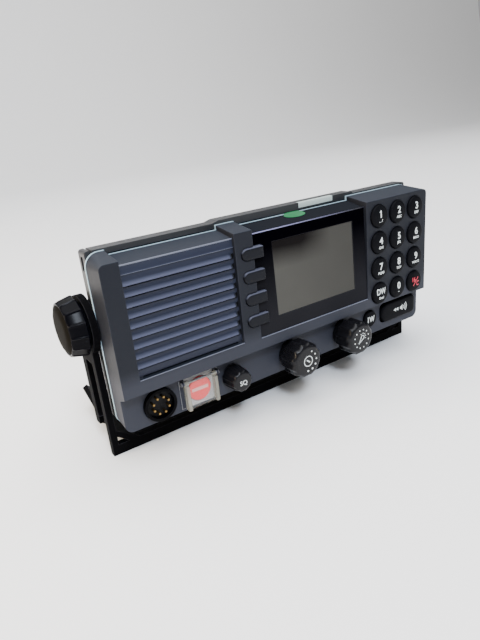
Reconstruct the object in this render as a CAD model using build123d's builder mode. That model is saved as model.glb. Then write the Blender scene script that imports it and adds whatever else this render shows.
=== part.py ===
from build123d import *
import math
import os

# VHF marine radio with a tilting bracket. Millimetres, X to the right, Z up, the front looks along -Y.
# The origin is the centre of the bracket's mounting holes, on the surface that the bracket is screwed to.
# Depths are counted backwards from the raised front face; at(depth) turns one into a Y coordinate.

# ---- Bracket ----
BASE_DEPTH = 61.0  # front to back
BASE_THICK = 3.0
FLARE_RUN = 16.0  # how far the flared sides lean out at the front
BAR_HEIGHT = 5.5  # front bar
FLARE_Z = 12.7  # top edge of the flared sides
FLARE_REAR_RUN = 9.4  # and at the rear
FLARE_THICK = 2.6
ARM_GAP = 0.7  # between the panel's sides and the arms
ARM_THICK = 3.3
ARM_RIB_FRONT = 3.8  # front to back
ARM_RIB_REAR = 5.0
ARM_DEPTH = 18.5
ARM_BOSS_R = 14.2
ARM_BOSS_RIM = 1.1  # raised rim round the boss
ARM_DISH = 0.5  # depth of the dish inside the rim
ARM_SLOT_R = 2.0
FOOT_STEP = 2.4  # how far the foot of each arm steps in, between its ribs
FOOT_H = 18.0
PIVOT_HOLE_R = 4.6
HOLE_SPACING_X = 150.0
HOLE_SPACING_Y = 40.0
HOLE_R = 2.75
HOLE_PAD_R = 6.5
HOLE_PAD_RISE = 1.0
BASE_SLOT_W = 34.0
BASE_SLOT_D = 22.0
BASE_SLOT_R = 4.0

# ---- Where the radio sits in the bracket ----
ARM_FRONT_DEPTH = 20.6  # front of the arms, behind the raised face
PIVOT_DEPTH = 27.3
PIVOT_Z = 69.2
PANEL_BOTTOM_Z = 18.0

# ---- Front panel ----
PANEL_W = 206.0
PANEL_D = 15.3  # raised face to gasket
FACE_H = 62.4  # raised face
STRIP_H = 20.2  # lower strip, up to the raised face
STRIP_RECESS = 5.9
STRIP_SLOPE = 2.5  # fall of the underside of the raised face
TOP_RISE = 2.6  # rise of the top from face to gasket
SIDE_DRAFT = 0.3
FACE_CORNER_R = 2.6
REAR_CORNER_R = 6.5
WALL = 2.5
POCKET_R = 1.5  # corners of the hollows
SEAM = 0.15  # fixed pieces let into a cut-out
SEAT = 0.2  # fixed pieces stacked one behind the other

PILLAR_W = 9.0
RIB_CENTRE = -31.2
RIB_W = 10.5
LOW_TOP_DROP = 2.3  # louvres and display sit lower than pillar, rib and key block
LOUVRE_SET_BACK = 2.2
LOUVRE_BOTTOM_Z = 45.0
LOUVRE_PITCH = 4.87
LOUVRE_COUNT = 9
LOUVRE_FIRST_Z = 50.4  # nose of the lowest louvre
LOUVRE_NOSE = 1.5  # how far a nose stands out
LOUVRE_NOSE_H = 2.1
LOUVRE_END_GAP = 1.6  # nose ends, clear of pillar and rib
LOUVRE_SLOT = 0.95
BAND_LIP = 0.6
BAND_RISE = 4.75  # ridge above the highest louvre

# ---- Display ----
DISPLAY_BOTTOM_Z = 44.2
DISPLAY_TOP_DEPTH = 2.2  # the bezel leans back from bottom to top
DISPLAY_BOTTOM_DEPTH = 0.4
DISPLAY_TOP_Z = 97.9
BEZEL_THICK = 2.6
SHELF_THICK = 1.7  # top shelf of the bezel
WINDOW_CENTRE_X = 14.6
WINDOW_W = 55.9
WINDOW_CENTRE_Z = 72.5
WINDOW_H = 39.2
GLASS_THICK = 1.2
GLASS_SET_BACK = 0.25
MODULE_MARGIN = 3.5

# ---- Keys ----
KEY_R = 6.45
KEY_SPACE = 2.36  # between neighbouring keys of a row
KEY_MARGIN_LEFT = 3.05  # from the outer keys to the edges of their block
KEY_MARGIN_RIGHT = 4.43
KEY_MARGIN_TOP = 2.65
KEY_MARGIN_BOTTOM = 1.07
KEY_PROUD = 2.0
KEY_DOME = 1.5
KEY_GAP = 0.3
KEY_BODY = 1.5  # depth of the full-width part behind the face
KEY_SIDE_WALL = 1.8  # panel wall left of the first column
KEY_NECK_R = 4.4
KEY_FLANGE_SPACE = 0.36  # between neighbouring flanges
KEY_FLANGE_H = 7.0
KEY_FLANGE_T = 1.2
KEY_STEM_R = 2.6
KEY_TRAVEL = 0.9
SOFT_KEY_L = 12.8
SOFT_KEY_H = 5.8
SOFT_KEY_X = -26.8
SOFT_KEY_TOP_Z = 89.3
SOFT_KEY_PITCH = 11.5
SOFT_KEY_PROUD = 1.0
SOFT_KEY_EDGE = 0.5  # chamfer
STRIP_KEY_Z = 28.6
LOW_POWER_INSET = 6.8  # centre, from the left edge of the key block
LOW_POWER_R = 5.2
REPLAY_SPACE = 4.4  # beside the low power key
REPLAY_INSET = 3.4  # in from the side of the panel
REPLAY_H = 12.0
REPLAY_END_R = 3.0

# ---- Lower strip ----
CONTROL_Z = 27.3
VOLUME_X = -4.7
CHANNEL_X = 35.3
SQUELCH_X = -42.8
KNOB_R = 10.0
KNOB_FACE_DEPTH = -10.6
KNOB_SKIRT_R = 7.6
KNOB_SKIRT_L = 4.4
KNOB_FLUTES = 12
KNOB_FLUTE_R = 2.6
KNOB_FLUTE_CUT = 0.8
KNOB_EDGE = 1.0  # chamfer round the face
KNOB_BAND = 1.8  # plain band in front of the flutes
KNOB_CAP = 3.6  # thickness of the face over the shaft
SQUELCH_R = 5.6
SQUELCH_BASE_R = 6.5
SQUELCH_FACE_DEPTH = -5.0
SQUELCH_CAP = 3.0
SQUELCH_EDGE = 0.7
KNOB_GAP = 1.0  # behind the knob, room to press
PRESS_TRAVEL = 0.6
SHAFT_R = 3.0
SQUELCH_SHAFT_R = 2.0
BUSH_R = 4.5
RUNNING = 0.05  # radial clearance of a turning fit
ENCODER_SIZE = 12.4
ENCODER_CORNER_R = 0.8
CONNECTOR_X = -84.6
CONNECTOR_R = 8.3
CONNECTOR_WALL = 1.4
CONNECTOR_PROUD = 2.5
CONNECTOR_LEDGE = 1.0  # thickness of the ledge that the shell sits on
CONNECTOR_BARREL_R = 6.6  # insert behind the ledge
CONNECTOR_KEY_W = 1.6
CONNECTOR_KEY_H = 1.4
PIN_CIRCLE_R = 4.2
PIN_R = 0.55
PIN_COUNT = 8
PIN_L = 2.8

# ---- Distress button and its lid ----
DISTRESS_X = -62.3
BUTTON_R = 6.4
BUTTON_PROUD = 0.7
SURROUND_W = 21.8
SURROUND_H = 16.4
LID_W = 17.8
LID_H = 14.6
LID_THICK = 1.2
LID_DEPTH = 3.4  # front of the lid's plate
LID_RIB_W = 1.8
LID_RIB_OUT = 1.5
LID_SKIRT_T = 1.0
LID_BARREL_R = 1.2
LID_AXIS_DROP = 2.1  # below the top of the surround
LID_PIN_R = 0.6
LUG_W = 1.6

# ---- Gasket and rear housing ----
GASKET_T = 1.1
GASKET_PROUD = 0.2
GASKET_W = 3.4
GASKET_EAR_R = 2.9  # round each screw
FLANGE_DEPTH = 8.0
FLANGE_INSET = 0.4  # sides of the flange, in from the panel's
FLANGE_RISE = 1.0  # above the panel's top
FLANGE_LIFT = 2.0  # above the panel's bottom
FLANGE_WALL = 2.6
FLANGE_CORNER_R = 1.5
FLANGE_NOTCH = 1.0
SIDE_SLOT_W = 3.0  # shallow slots in the side plates
SIDE_SLOT_H = 6.5
SIDE_SLOT_DEPTH = 4.4  # behind the gasket
SIDE_SLOT_TOP_DROP = 6.0
SIDE_SLOT_BOTTOM_RISE = 8.0
TOP_STEP = 1.0
TOP_STEP_LEFT = -37.0
TOP_STEP_RIGHT = 59.0
BODY_INSET = 14.6  # sides of the deep body, in from the flange's
BODY_TOP_DROP = 11.2  # and its top and bottom
BODY_BOTTOM_RISE = 4.0
BODY_REAR_DEPTH = 74.0
BODY_WALL = 3.0
BODY_CORNER_R = 4.0
FIN_COUNT = 15
FIN_PITCH = 6.4
FIN_THICK = 2.0
FIN_DEPTH = 10.0
FIN_INSET = 4.0  # above and below the fins
SIDE_BOSS_R = 10.6
WASHER_T = 1.2
INSERT_R = 5.5
INSERT_L = 12.0
STUD_R = 3.95

# ---- Clamp knobs ----
CLAMP_R = 15.0  # over the corners of the facets, at the arm
CLAMP_END_R = 13.4  # and at the outer end
CLAMP_FACETS = 14
CLAMP_GRIP_L = 8.7
CLAMP_CAP_R = 11.9
CLAMP_CAP_L = 1.3  # round end cap, dome included
CLAMP_DOME = 0.9
CLAMP_COLLAR_R = 10.5
CLAMP_COLLAR_L = 1.5  # sits in the dish of the arm's boss

# ---- Inside ----
BOARD_T = 1.6
BOARD_DEPTH = 13.2  # front of the keypad board
SPEAKER_R = 25.0
SPEAKER_D = 17.0
SPEAKER_RIM_W = 3.0
SPEAKER_RIM_T = 1.5
MAGNET_R = 15.0
MAGNET_T = 7.0
CONE_T = 1.0
CLOTH_T = 0.4
MAIN_BOARD_Z = 40.0
MAIN_BOARD_INSET = 5.0  # from the cavity's sides
MAIN_BOARD_GAP = 0.8  # to the rear wall
MAIN_BOARD_FRONT = 3.8  # behind the flange
POST_INSET_X = 10.0
POST_INSET_Y = 6.0
POST_R = 3.0
SHIELD_X = -30.0
SHIELD_W = 50.0
SHIELD_INSET = 5.0  # from the board's front and rear
SHIELD_H = 9.0
AMPLIFIER_X = 26.0
AMPLIFIER_W = 46.0
AMPLIFIER_D = 12.0
AMPLIFIER_H = 11.0
SCREW_INSET_X = 5.4  # from the panel's sides
SCREW_INSET_Z = 2.2  # from the top of its face
SCREW_HEAD_R = 2.7
SCREW_HEAD_T = 2.0
SCREW_R = 1.5
SCREW_GAP = 0.1
SCREW_BITE = 7.0  # depth of the hole in the panel
SCREW_TIP_GAP = 1.0
SCREW_BOSS_R = 2.9

# ---- Rear connectors ----
ANTENNA_X = 66.0
ANTENNA_Z = 44.0
ANTENNA_R = 7.9  # threaded barrel
ANTENNA_L = 13.0
ANTENNA_FLANGE = 22.0
ANTENNA_FLANGE_T = 2.5
ANTENNA_WALL = 2.0
ANTENNA_FLOOR = 3.0
ANTENNA_SOCKET_R = 2.4
ANTENNA_SOCKET_WALL = 1.4
POWER_X = -68.0
POWER_Z = 44.0
POWER_W = 22.0
POWER_H = 13.0
POWER_L = 10.0
POWER_WALL = 2.0
POWER_PIN_R = 1.6
POWER_PIN_PITCH = 9.0
GROUND_R = 2.5
GROUND_L = 11.0
GROUND_NUT_R = 4.75
GROUND_NUT_T = 3.2
ACCESSORY_Z = 72.0
ACCESSORY_W = 30.0
ACCESSORY_H = 11.0
ACCESSORY_FLANGE_T = 1.5
ACCESSORY_LIP = 5.0  # flange either side of the shell
ACCESSORY_SHELL_L = 5.0
ACCESSORY_SHELL_T = 0.7
ACCESSORY_TONGUE_L = 3.5

# ---- Worked out ----
FACE_Y = -(ARM_FRONT_DEPTH + BASE_DEPTH / 2)
PANEL_HALF = PANEL_W / 2
ARM_INNER = PANEL_HALF + ARM_GAP
STRIP_TOP_Z = PANEL_BOTTOM_Z + STRIP_H
FACE_TOP_Z = STRIP_TOP_Z + FACE_H
REAR_TOP_Z = FACE_TOP_Z + TOP_RISE
LOW_TOP_Z = FACE_TOP_Z - LOW_TOP_DROP
LOW_REAR_TOP_Z = REAR_TOP_Z - LOW_TOP_DROP
PILLAR_RIGHT = -PANEL_HALF + PILLAR_W
RIB_LEFT = RIB_CENTRE - RIB_W / 2
RIB_RIGHT = RIB_CENTRE + RIB_W / 2
KEY_PITCH = 2 * KEY_R + KEY_SPACE
KEY_FLANGE_W = KEY_PITCH - KEY_FLANGE_SPACE
KEY_BLOCK_LEFT = PANEL_HALF - KEY_MARGIN_RIGHT - 2 * KEY_R - 2 * KEY_PITCH - KEY_MARGIN_LEFT
KEY_FIRST_X = KEY_BLOCK_LEFT + KEY_MARGIN_LEFT + KEY_R
KEY_TOP_Z = FACE_TOP_Z - KEY_MARGIN_TOP - KEY_R
KEY_ROW_PITCH = (KEY_TOP_Z - KEY_R - KEY_MARGIN_BOTTOM - STRIP_TOP_Z) / 3
LOW_POWER_X = KEY_BLOCK_LEFT + LOW_POWER_INSET
REPLAY_LEFT = LOW_POWER_X + LOW_POWER_R + REPLAY_SPACE
REPLAY_RIGHT = PANEL_HALF - REPLAY_INSET
GASKET_BACK = PANEL_D + GASKET_T
ARM_OUTER = ARM_INNER + ARM_THICK
BASE_HALF = ARM_OUTER - FLARE_RUN
FLARE_REAR_HALF = BASE_HALF + FLARE_REAR_RUN
FLANGE_HALF = PANEL_HALF - FLANGE_INSET
FLANGE_TOP_Z = REAR_TOP_Z + FLANGE_RISE
FLANGE_BOTTOM_Z = PANEL_BOTTOM_Z + FLANGE_LIFT
BODY_TOP_Z = FLANGE_TOP_Z - BODY_TOP_DROP
BODY_BOTTOM_Z = FLANGE_BOTTOM_Z + BODY_BOTTOM_RISE
BODY_HALF = FLANGE_HALF - BODY_INSET
SCREW_X = PANEL_HALF - SCREW_INSET_X
SCREW_TOP_Z = FACE_TOP_Z - SCREW_INSET_Z
STEM_END_DEPTH = BOARD_DEPTH - KEY_TRAVEL - KEY_GAP
STRIP_WALL_BACK = STRIP_RECESS + WALL
FAR = 400.0


def at(depth):
    """Y coordinate of a depth behind the raised face."""
    return FACE_Y + depth


def front(depth):
    """Sketch plane at a depth, looking out of the front: its x is X and its y is Z."""
    return Plane.XZ.offset(-at(depth))


def side(x):
    """Sketch plane square to X: its x is Y and its y is Z."""
    return Plane.YZ.offset(x)


def save(part, name):
    part.label = name
    export_step(part, f"parts/{name}.step")


os.makedirs("parts", exist_ok=True)

# ================= Bracket =================
arm_front = at(ARM_FRONT_DEPTH)
arm_back = arm_front + ARM_DEPTH
base_back = arm_front + BASE_DEPTH
pivot_y = at(PIVOT_DEPTH)
frame_back = arm_front + ARM_RIB_FRONT

with BuildPart() as bracket:
    # Flat floor, with a pad round each mounting hole.
    with BuildSketch(Plane.XY) as floor:
        with Locations((0, 0)):
            Rectangle(2 * BASE_HALF, BASE_DEPTH)
    extrude(amount=BASE_THICK)
    with BuildSketch(Plane.XY):
        with GridLocations(HOLE_SPACING_X, HOLE_SPACING_Y, 2, 2):
            Circle(HOLE_PAD_R)
    extrude(amount=BASE_THICK + HOLE_PAD_RISE)
    # Front frame: the bar and the front ribs of the arms, in one square-cornered U.
    with BuildSketch(Plane.XZ.offset(-arm_front)):
        with Locations((0, PIVOT_Z / 2)):
            Rectangle(2 * ARM_OUTER, PIVOT_Z)
        with Locations((0, BAR_HEIGHT + PIVOT_Z / 2)):
            Rectangle(2 * ARM_INNER, PIVOT_Z, mode=Mode.SUBTRACT)
    extrude(amount=-ARM_RIB_FRONT)
    # Flared sides, which carry the arms and narrow towards the rear.
    for sign in (-1, 1):
        with BuildSketch(Plane.XZ.offset(-arm_front)):
            with BuildLine():
                Polyline(
                    (sign * (BASE_HALF - FLARE_THICK), 0),
                    (sign * BASE_HALF, 0),
                    (sign * ARM_OUTER, FLARE_Z),
                    (sign * (ARM_OUTER - FLARE_THICK), FLARE_Z + FLARE_THICK / 2),
                    (sign * (BASE_HALF - FLARE_THICK), BASE_THICK),
                    close=True,
                )
            make_face()
        with BuildSketch(Plane.XZ.offset(-base_back)):
            with BuildLine():
                Polyline(
                    (sign * (BASE_HALF - FLARE_THICK), 0),
                    (sign * BASE_HALF, 0),
                    (sign * FLARE_REAR_HALF, FLARE_Z),
                    (sign * (FLARE_REAR_HALF - FLARE_THICK), FLARE_Z + FLARE_THICK / 2),
                    (sign * (BASE_HALF - FLARE_THICK), BASE_THICK),
                    close=True,
                )
            make_face()
        loft(ruled=True)
    # Rear stiffening wall.
    with BuildSketch(Plane.XZ.offset(-base_back)):
        with Locations((0, BAR_HEIGHT / 2)):
            Rectangle(2 * BASE_HALF, BAR_HEIGHT)
    extrude(amount=BASE_THICK)
    # Arms with a round boss at the pivot and a slot between the two ribs.
    for sign in (-1, 1):
        inner = sign * ARM_INNER if sign > 0 else -ARM_OUTER
        with BuildSketch(side(inner)):
            with Locations(((arm_front + arm_back) / 2, (FLARE_Z + PIVOT_Z) / 2)):
                Rectangle(ARM_DEPTH, PIVOT_Z - FLARE_Z)
            with Locations((pivot_y, PIVOT_Z)):
                Circle(ARM_BOSS_R)
        extrude(amount=ARM_THICK)
        slot_bottom = FLARE_Z + ARM_RIB_REAR
        slot_top = PIVOT_Z - ARM_BOSS_R - ARM_RIB_REAR
        with BuildSketch(side(inner)):
            slot_y = (frame_back + arm_back - ARM_RIB_REAR) / 2
            with Locations((slot_y, (slot_bottom + slot_top) / 2)):
                RectangleRounded(
                    arm_back - ARM_RIB_REAR - frame_back, slot_top - slot_bottom, ARM_SLOT_R
                )
        extrude(amount=ARM_THICK, mode=Mode.SUBTRACT)
        # Shallow dish in the outer face of the boss, inside a raised rim.
        outer = -ARM_OUTER if sign < 0 else ARM_OUTER
        with BuildSketch(side(outer)):
            with Locations((pivot_y, PIVOT_Z)):
                Circle(ARM_BOSS_R - ARM_BOSS_RIM)
        extrude(amount=-sign * ARM_DISH, mode=Mode.SUBTRACT)
        # Between the ribs, the foot of the arm steps in.
        with BuildSketch(side(outer)):
            with Locations((slot_y, slot_bottom - FOOT_H / 2)):
                Rectangle(arm_back - ARM_RIB_REAR - frame_back, FOOT_H)
        extrude(amount=-sign * FOOT_STEP, mode=Mode.SUBTRACT)
    with BuildSketch(side(-ARM_OUTER)):
        with Locations((pivot_y, PIVOT_Z)):
            Circle(PIVOT_HOLE_R)
    extrude(amount=2 * ARM_OUTER, mode=Mode.SUBTRACT)
    # Mounting holes and a lightening slot.
    with BuildSketch(Plane.XY):
        with GridLocations(HOLE_SPACING_X, HOLE_SPACING_Y, 2, 2):
            Circle(HOLE_R)
        with GridLocations(HOLE_SPACING_X / 3, 0, 3, 1):
            RectangleRounded(BASE_SLOT_W, BASE_SLOT_D, BASE_SLOT_R)
    extrude(amount=FLARE_Z, mode=Mode.SUBTRACT)
save(bracket.part, "mounting_bracket")

# ================= Front panel =================
low_spans = ((PILLAR_RIGHT, RIB_LEFT), (RIB_RIGHT, KEY_BLOCK_LEFT))
louvre_left, louvre_right = low_spans[0]
louvre_w = louvre_right - louvre_left
louvre_x = (louvre_left + louvre_right) / 2
display_w = KEY_BLOCK_LEFT - RIB_RIGHT
display_x = (KEY_BLOCK_LEFT + RIB_RIGHT) / 2
key_columns = [KEY_FIRST_X + column * KEY_PITCH for column in range(3)]
key_rows = [KEY_TOP_Z - row * KEY_ROW_PITCH for row in range(4)]
soft_rows = [SOFT_KEY_TOP_Z - row * SOFT_KEY_PITCH for row in range(4)]
louvre_rows = [LOUVRE_FIRST_Z + row * LOUVRE_PITCH for row in range(LOUVRE_COUNT)]
inner_half = PANEL_HALF - WALL
inner_bottom = PANEL_BOTTOM_Z + WALL
inner_top = LOW_TOP_Z - WALL
screws = [(sign * SCREW_X, z) for sign in (-1, 1) for z in (STRIP_TOP_Z, SCREW_TOP_Z)]
screws.append((RIB_CENTRE, SCREW_TOP_Z))


def pocket(x0, x1, z0, z1, depth):
    """Hollow from the back of the panel forwards to a depth."""
    with BuildSketch(front(PANEL_D)) as opening:
        with Locations(((x0 + x1) / 2, (z0 + z1) / 2)):
            RectangleRounded(x1 - x0, z1 - z0, POCKET_R)
    extrude(opening.sketch, amount=PANEL_D - depth, mode=Mode.SUBTRACT)


with BuildPart() as panel:
    # Side profile: raised face, stepped lower strip, sloping top.
    with BuildSketch(side(-PANEL_HALF - SIDE_DRAFT)):
        with BuildLine():
            Polyline(
                (at(0), STRIP_TOP_Z),
                (at(0), FACE_TOP_Z),
                (at(PANEL_D), REAR_TOP_Z),
                (at(PANEL_D), PANEL_BOTTOM_Z),
                (at(STRIP_RECESS), PANEL_BOTTOM_Z),
                (at(STRIP_RECESS), STRIP_TOP_Z - STRIP_SLOPE),
                close=True,
            )
        make_face()
    extrude(amount=PANEL_W + 2 * SIDE_DRAFT)
    # Rounded outline, which widens and rounds more towards the gasket.
    middle_z = (PANEL_BOTTOM_Z + REAR_TOP_Z) / 2
    with BuildSketch(front(0)):
        with Locations((0, (PANEL_BOTTOM_Z + FACE_TOP_Z) / 2)):
            RectangleRounded(PANEL_W, FACE_TOP_Z - PANEL_BOTTOM_Z, FACE_CORNER_R)
    with BuildSketch(front(PANEL_D)):
        with Locations((0, middle_z)):
            RectangleRounded(
                PANEL_W + 2 * SIDE_DRAFT, REAR_TOP_Z - PANEL_BOTTOM_Z, REAR_CORNER_R
            )
    loft(mode=Mode.INTERSECT)
    # Lower top over the louvres and over the display.
    for x0, x1 in low_spans:
        with BuildSketch(side(x0)):
            with BuildLine():
                Polyline(
                    (at(LOUVRE_SET_BACK), LOW_TOP_Z),
                    (at(PANEL_D), LOW_REAR_TOP_Z),
                    (at(PANEL_D), LOW_REAR_TOP_Z + 2 * LOW_TOP_DROP),
                    (at(-LOUVRE_SET_BACK), LOW_REAR_TOP_Z + 2 * LOW_TOP_DROP),
                    (at(-LOUVRE_SET_BACK), LOW_TOP_Z),
                    close=True,
                )
            make_face()
        extrude(amount=x1 - x0, mode=Mode.SUBTRACT)
    # Louvred face, set back between the pillar and the rib.
    with BuildSketch(front(0)):
        with Locations((louvre_x, (LOUVRE_BOTTOM_Z + REAR_TOP_Z) / 2)):
            Rectangle(louvre_w, REAR_TOP_Z - LOUVRE_BOTTOM_Z)
    extrude(amount=-LOUVRE_SET_BACK, mode=Mode.SUBTRACT)
    # Hollows behind the louvres, the keys and the lower strip, and one for the board.
    pocket(louvre_left + WALL, louvre_right - WALL, LOUVRE_BOTTOM_Z - WALL, inner_top,
           LOUVRE_SET_BACK + WALL)
    pocket(KEY_BLOCK_LEFT + KEY_SIDE_WALL, inner_half - KEY_GAP, STRIP_TOP_Z + WALL,
           KEY_TOP_Z + KEY_NECK_R + KEY_GAP, WALL)
    pocket(-inner_half, inner_half, inner_bottom, STRIP_TOP_Z - WALL, STRIP_WALL_BACK)
    pocket(RIB_LEFT + WALL, inner_half, inner_bottom, inner_top, BOARD_DEPTH - SEAT)
    # Display opening, up through the top.
    with BuildSketch(front(0)):
        with Locations((display_x, (DISPLAY_BOTTOM_Z + FAR) / 2)):
            Rectangle(display_w, FAR - DISPLAY_BOTTOM_Z)
    extrude(amount=-PANEL_D, mode=Mode.SUBTRACT)
    # Louvres: a slot through the wall under each nose and along the bottom edge.
    with BuildSketch(front(LOUVRE_SET_BACK)):
        for z in [LOUVRE_BOTTOM_Z + LOUVRE_SLOT, *louvre_rows]:
            with Locations((louvre_x, z - LOUVRE_SLOT / 2)):
                Rectangle(louvre_w - 2 * WALL, LOUVRE_SLOT)
    extrude(amount=-WALL, mode=Mode.SUBTRACT)
    with BuildSketch(side(louvre_left + LOUVRE_END_GAP)):
        for z in louvre_rows:
            with BuildLine():
                Polyline(
                    (at(LOUVRE_SET_BACK), z),
                    (at(LOUVRE_SET_BACK - LOUVRE_NOSE), z),
                    (at(LOUVRE_SET_BACK), z + LOUVRE_NOSE_H),
                    close=True,
                )
            make_face()
        band_z = louvre_rows[-1] + BAND_RISE
        with BuildLine():
            Polyline(
                (at(LOUVRE_SET_BACK), band_z),
                (at(LOUVRE_SET_BACK - BAND_LIP), band_z),
                (at(LOUVRE_SET_BACK), band_z + BAND_LIP),
                close=True,
            )
        make_face()
    extrude(amount=louvre_w - 2 * LOUVRE_END_GAP)
    # Key holes.
    with BuildSketch(front(0)):
        for x in key_columns:
            for z in key_rows:
                with Locations((x, z)):
                    Circle(KEY_R + KEY_GAP)
    extrude(amount=-WALL, mode=Mode.SUBTRACT)
    # Soft key slots, open towards the display.
    with BuildSketch(front(0)):
        for z in soft_rows:
            with Locations((SOFT_KEY_X, z)):
                SlotOverall(SOFT_KEY_L + 2 * KEY_GAP, SOFT_KEY_H + 2 * KEY_GAP)
            with Locations((SOFT_KEY_X + SOFT_KEY_L / 2, z)):
                Rectangle(SOFT_KEY_L, SOFT_KEY_H + 2 * KEY_GAP)
    extrude(amount=-PANEL_D, mode=Mode.SUBTRACT)
    # Lower strip: key, knob, connector and distress cut-outs.
    with BuildSketch(front(0)):
        with Locations((LOW_POWER_X, STRIP_KEY_Z)):
            Circle(LOW_POWER_R + KEY_GAP)
        with Locations((VOLUME_X, CONTROL_Z), (CHANNEL_X, CONTROL_Z), (SQUELCH_X, CONTROL_Z)):
            Circle(BUSH_R + SEAM)
        with Locations((CONNECTOR_X, CONTROL_Z)):
            Circle(CONNECTOR_BARREL_R + SEAM)
        with Locations((DISTRESS_X, CONTROL_Z)):
            Rectangle(SURROUND_W + 2 * SEAM, SURROUND_H + 2 * SEAM)
        replay_mid = (REPLAY_LEFT + REPLAY_RIGHT) / 2
        with Locations((replay_mid, STRIP_KEY_Z)):
            RectangleRounded(
                REPLAY_RIGHT - REPLAY_LEFT + 2 * KEY_GAP, REPLAY_H + 2 * KEY_GAP,
                REPLAY_END_R + KEY_GAP,
            )
    extrude(amount=-PANEL_D, mode=Mode.SUBTRACT)
    # The handset socket's shell sits on a ledge.
    with BuildSketch(front(STRIP_RECESS)):
        with Locations((CONNECTOR_X, CONTROL_Z)):
            Circle(CONNECTOR_R + SEAM)
    extrude(amount=-(WALL - CONNECTOR_LEDGE), mode=Mode.SUBTRACT)
    # Screw holes in the solid corners, the rib and the web above the strip.
    with BuildSketch(front(PANEL_D)):
        with Locations(*screws):
            Circle(SCREW_R + SCREW_GAP)
    extrude(amount=SCREW_BITE, mode=Mode.SUBTRACT)
save(panel.part, "front_panel")

# ================= Display =================
bezel_x0 = RIB_RIGHT + SEAM
bezel_w = display_w - 2 * SEAM
lean = (DISPLAY_TOP_DEPTH - DISPLAY_BOTTOM_DEPTH) / (DISPLAY_TOP_Z - DISPLAY_BOTTOM_Z)


def display_depth(z):
    """Depth of the leaning front of the bezel at a height."""
    return DISPLAY_BOTTOM_DEPTH + lean * (z - DISPLAY_BOTTOM_Z)


with BuildPart() as bezel:
    # Bent plate: the leaning front, and a shelf back to the gasket.
    bottom_z = DISPLAY_BOTTOM_Z + SEAM
    with BuildSketch(side(bezel_x0)):
        with BuildLine():
            Polyline(
                (at(display_depth(bottom_z)), bottom_z),
                (at(DISPLAY_TOP_DEPTH), DISPLAY_TOP_Z),
                (at(PANEL_D - SEAM), LOW_REAR_TOP_Z),
                (at(PANEL_D - SEAM), LOW_REAR_TOP_Z - SHELF_THICK),
                (at(DISPLAY_TOP_DEPTH + BEZEL_THICK), DISPLAY_TOP_Z - SHELF_THICK),
                (at(display_depth(bottom_z) + BEZEL_THICK), bottom_z),
                close=True,
            )
        make_face()
    extrude(amount=bezel_w)
    with BuildSketch(front(0)):
        with Locations((WINDOW_CENTRE_X, WINDOW_CENTRE_Z)):
            Rectangle(WINDOW_W, WINDOW_H)
        for z in soft_rows:
            with Locations((SOFT_KEY_X, z)):
                Rectangle(SOFT_KEY_L + 2 * KEY_GAP, SOFT_KEY_H + 2 * KEY_GAP)
    extrude(amount=-PANEL_D / 2, mode=Mode.SUBTRACT)
save(bezel.part, "display_bezel")

with BuildPart() as glass:
    glass_low = WINDOW_CENTRE_Z - WINDOW_H / 2 + SEAM
    glass_high = WINDOW_CENTRE_Z + WINDOW_H / 2 - SEAM
    with BuildSketch(side(WINDOW_CENTRE_X - WINDOW_W / 2 + SEAM)):
        with BuildLine():
            Polyline(
                (at(display_depth(glass_low) + GLASS_SET_BACK), glass_low),
                (at(display_depth(glass_high) + GLASS_SET_BACK), glass_high),
                (at(display_depth(glass_high) + GLASS_SET_BACK + GLASS_THICK), glass_high),
                (at(display_depth(glass_low) + GLASS_SET_BACK + GLASS_THICK), glass_low),
                close=True,
            )
        make_face()
    extrude(amount=WINDOW_W - 2 * SEAM)
save(glass.part, "display_glass")

with BuildPart() as module:
    # Wedge between the leaning bezel and the board, with its front parallel to the glass.
    module_low = WINDOW_CENTRE_Z - WINDOW_H / 2 - MODULE_MARGIN
    module_high = WINDOW_CENTRE_Z + WINDOW_H / 2 + MODULE_MARGIN
    with BuildSketch(side(WINDOW_CENTRE_X - WINDOW_W / 2 - MODULE_MARGIN)):
        with BuildLine():
            Polyline(
                (at(display_depth(module_low) + BEZEL_THICK + SEAT), module_low),
                (at(display_depth(module_high) + BEZEL_THICK + SEAT), module_high),
                (at(BOARD_DEPTH - SEAT), module_high),
                (at(BOARD_DEPTH - SEAT), module_low),
                close=True,
            )
        make_face()
    extrude(amount=WINDOW_W + 2 * MODULE_MARGIN)
save(module.part, "display_module")

# ================= Keys =================
def round_key(name, x, z, radius, face_depth):
    """Domed round key with a neck, a flange behind the panel wall and a stem for its switch."""
    with BuildPart() as key:
        with BuildSketch(front(face_depth - KEY_PROUD)) as cap:
            with Locations((x, z)):
                Circle(radius)
        extrude(cap.sketch, amount=-(KEY_PROUD + KEY_BODY))
        fillet(key.edges().group_by(Axis.Y)[0], KEY_DOME)
        with BuildSketch(front(face_depth + KEY_BODY)) as neck:
            with Locations((x, z)):
                Circle(min(KEY_NECK_R, radius - KEY_GAP))
        extrude(neck.sketch, amount=-(WALL + SEAM - KEY_BODY))
        with BuildSketch(front(face_depth + WALL + SEAM)) as flange:
            with Locations((x, z)):
                Rectangle(KEY_FLANGE_W - 2 * (KEY_R - radius), KEY_FLANGE_H)
        extrude(flange.sketch, amount=-KEY_FLANGE_T)
        with BuildSketch(front(face_depth + WALL + SEAM)) as stem:
            with Locations((x, z)):
                Circle(KEY_STEM_R)
        extrude(stem.sketch, amount=-(STEM_END_DEPTH - face_depth - WALL - SEAM))
    save(key.part, name)
    return key


key_names = ("key_1", "key_2", "key_3", "key_4", "key_5", "key_6", "key_7", "key_8", "key_9",
             "key_watch", "key_0", "key_call")
for index, name in enumerate(key_names):
    round_key(name, key_columns[index % 3], key_rows[index // 3], KEY_R, 0)
round_key("low_power_key", LOW_POWER_X, STRIP_KEY_Z, LOW_POWER_R, STRIP_RECESS)

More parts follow.
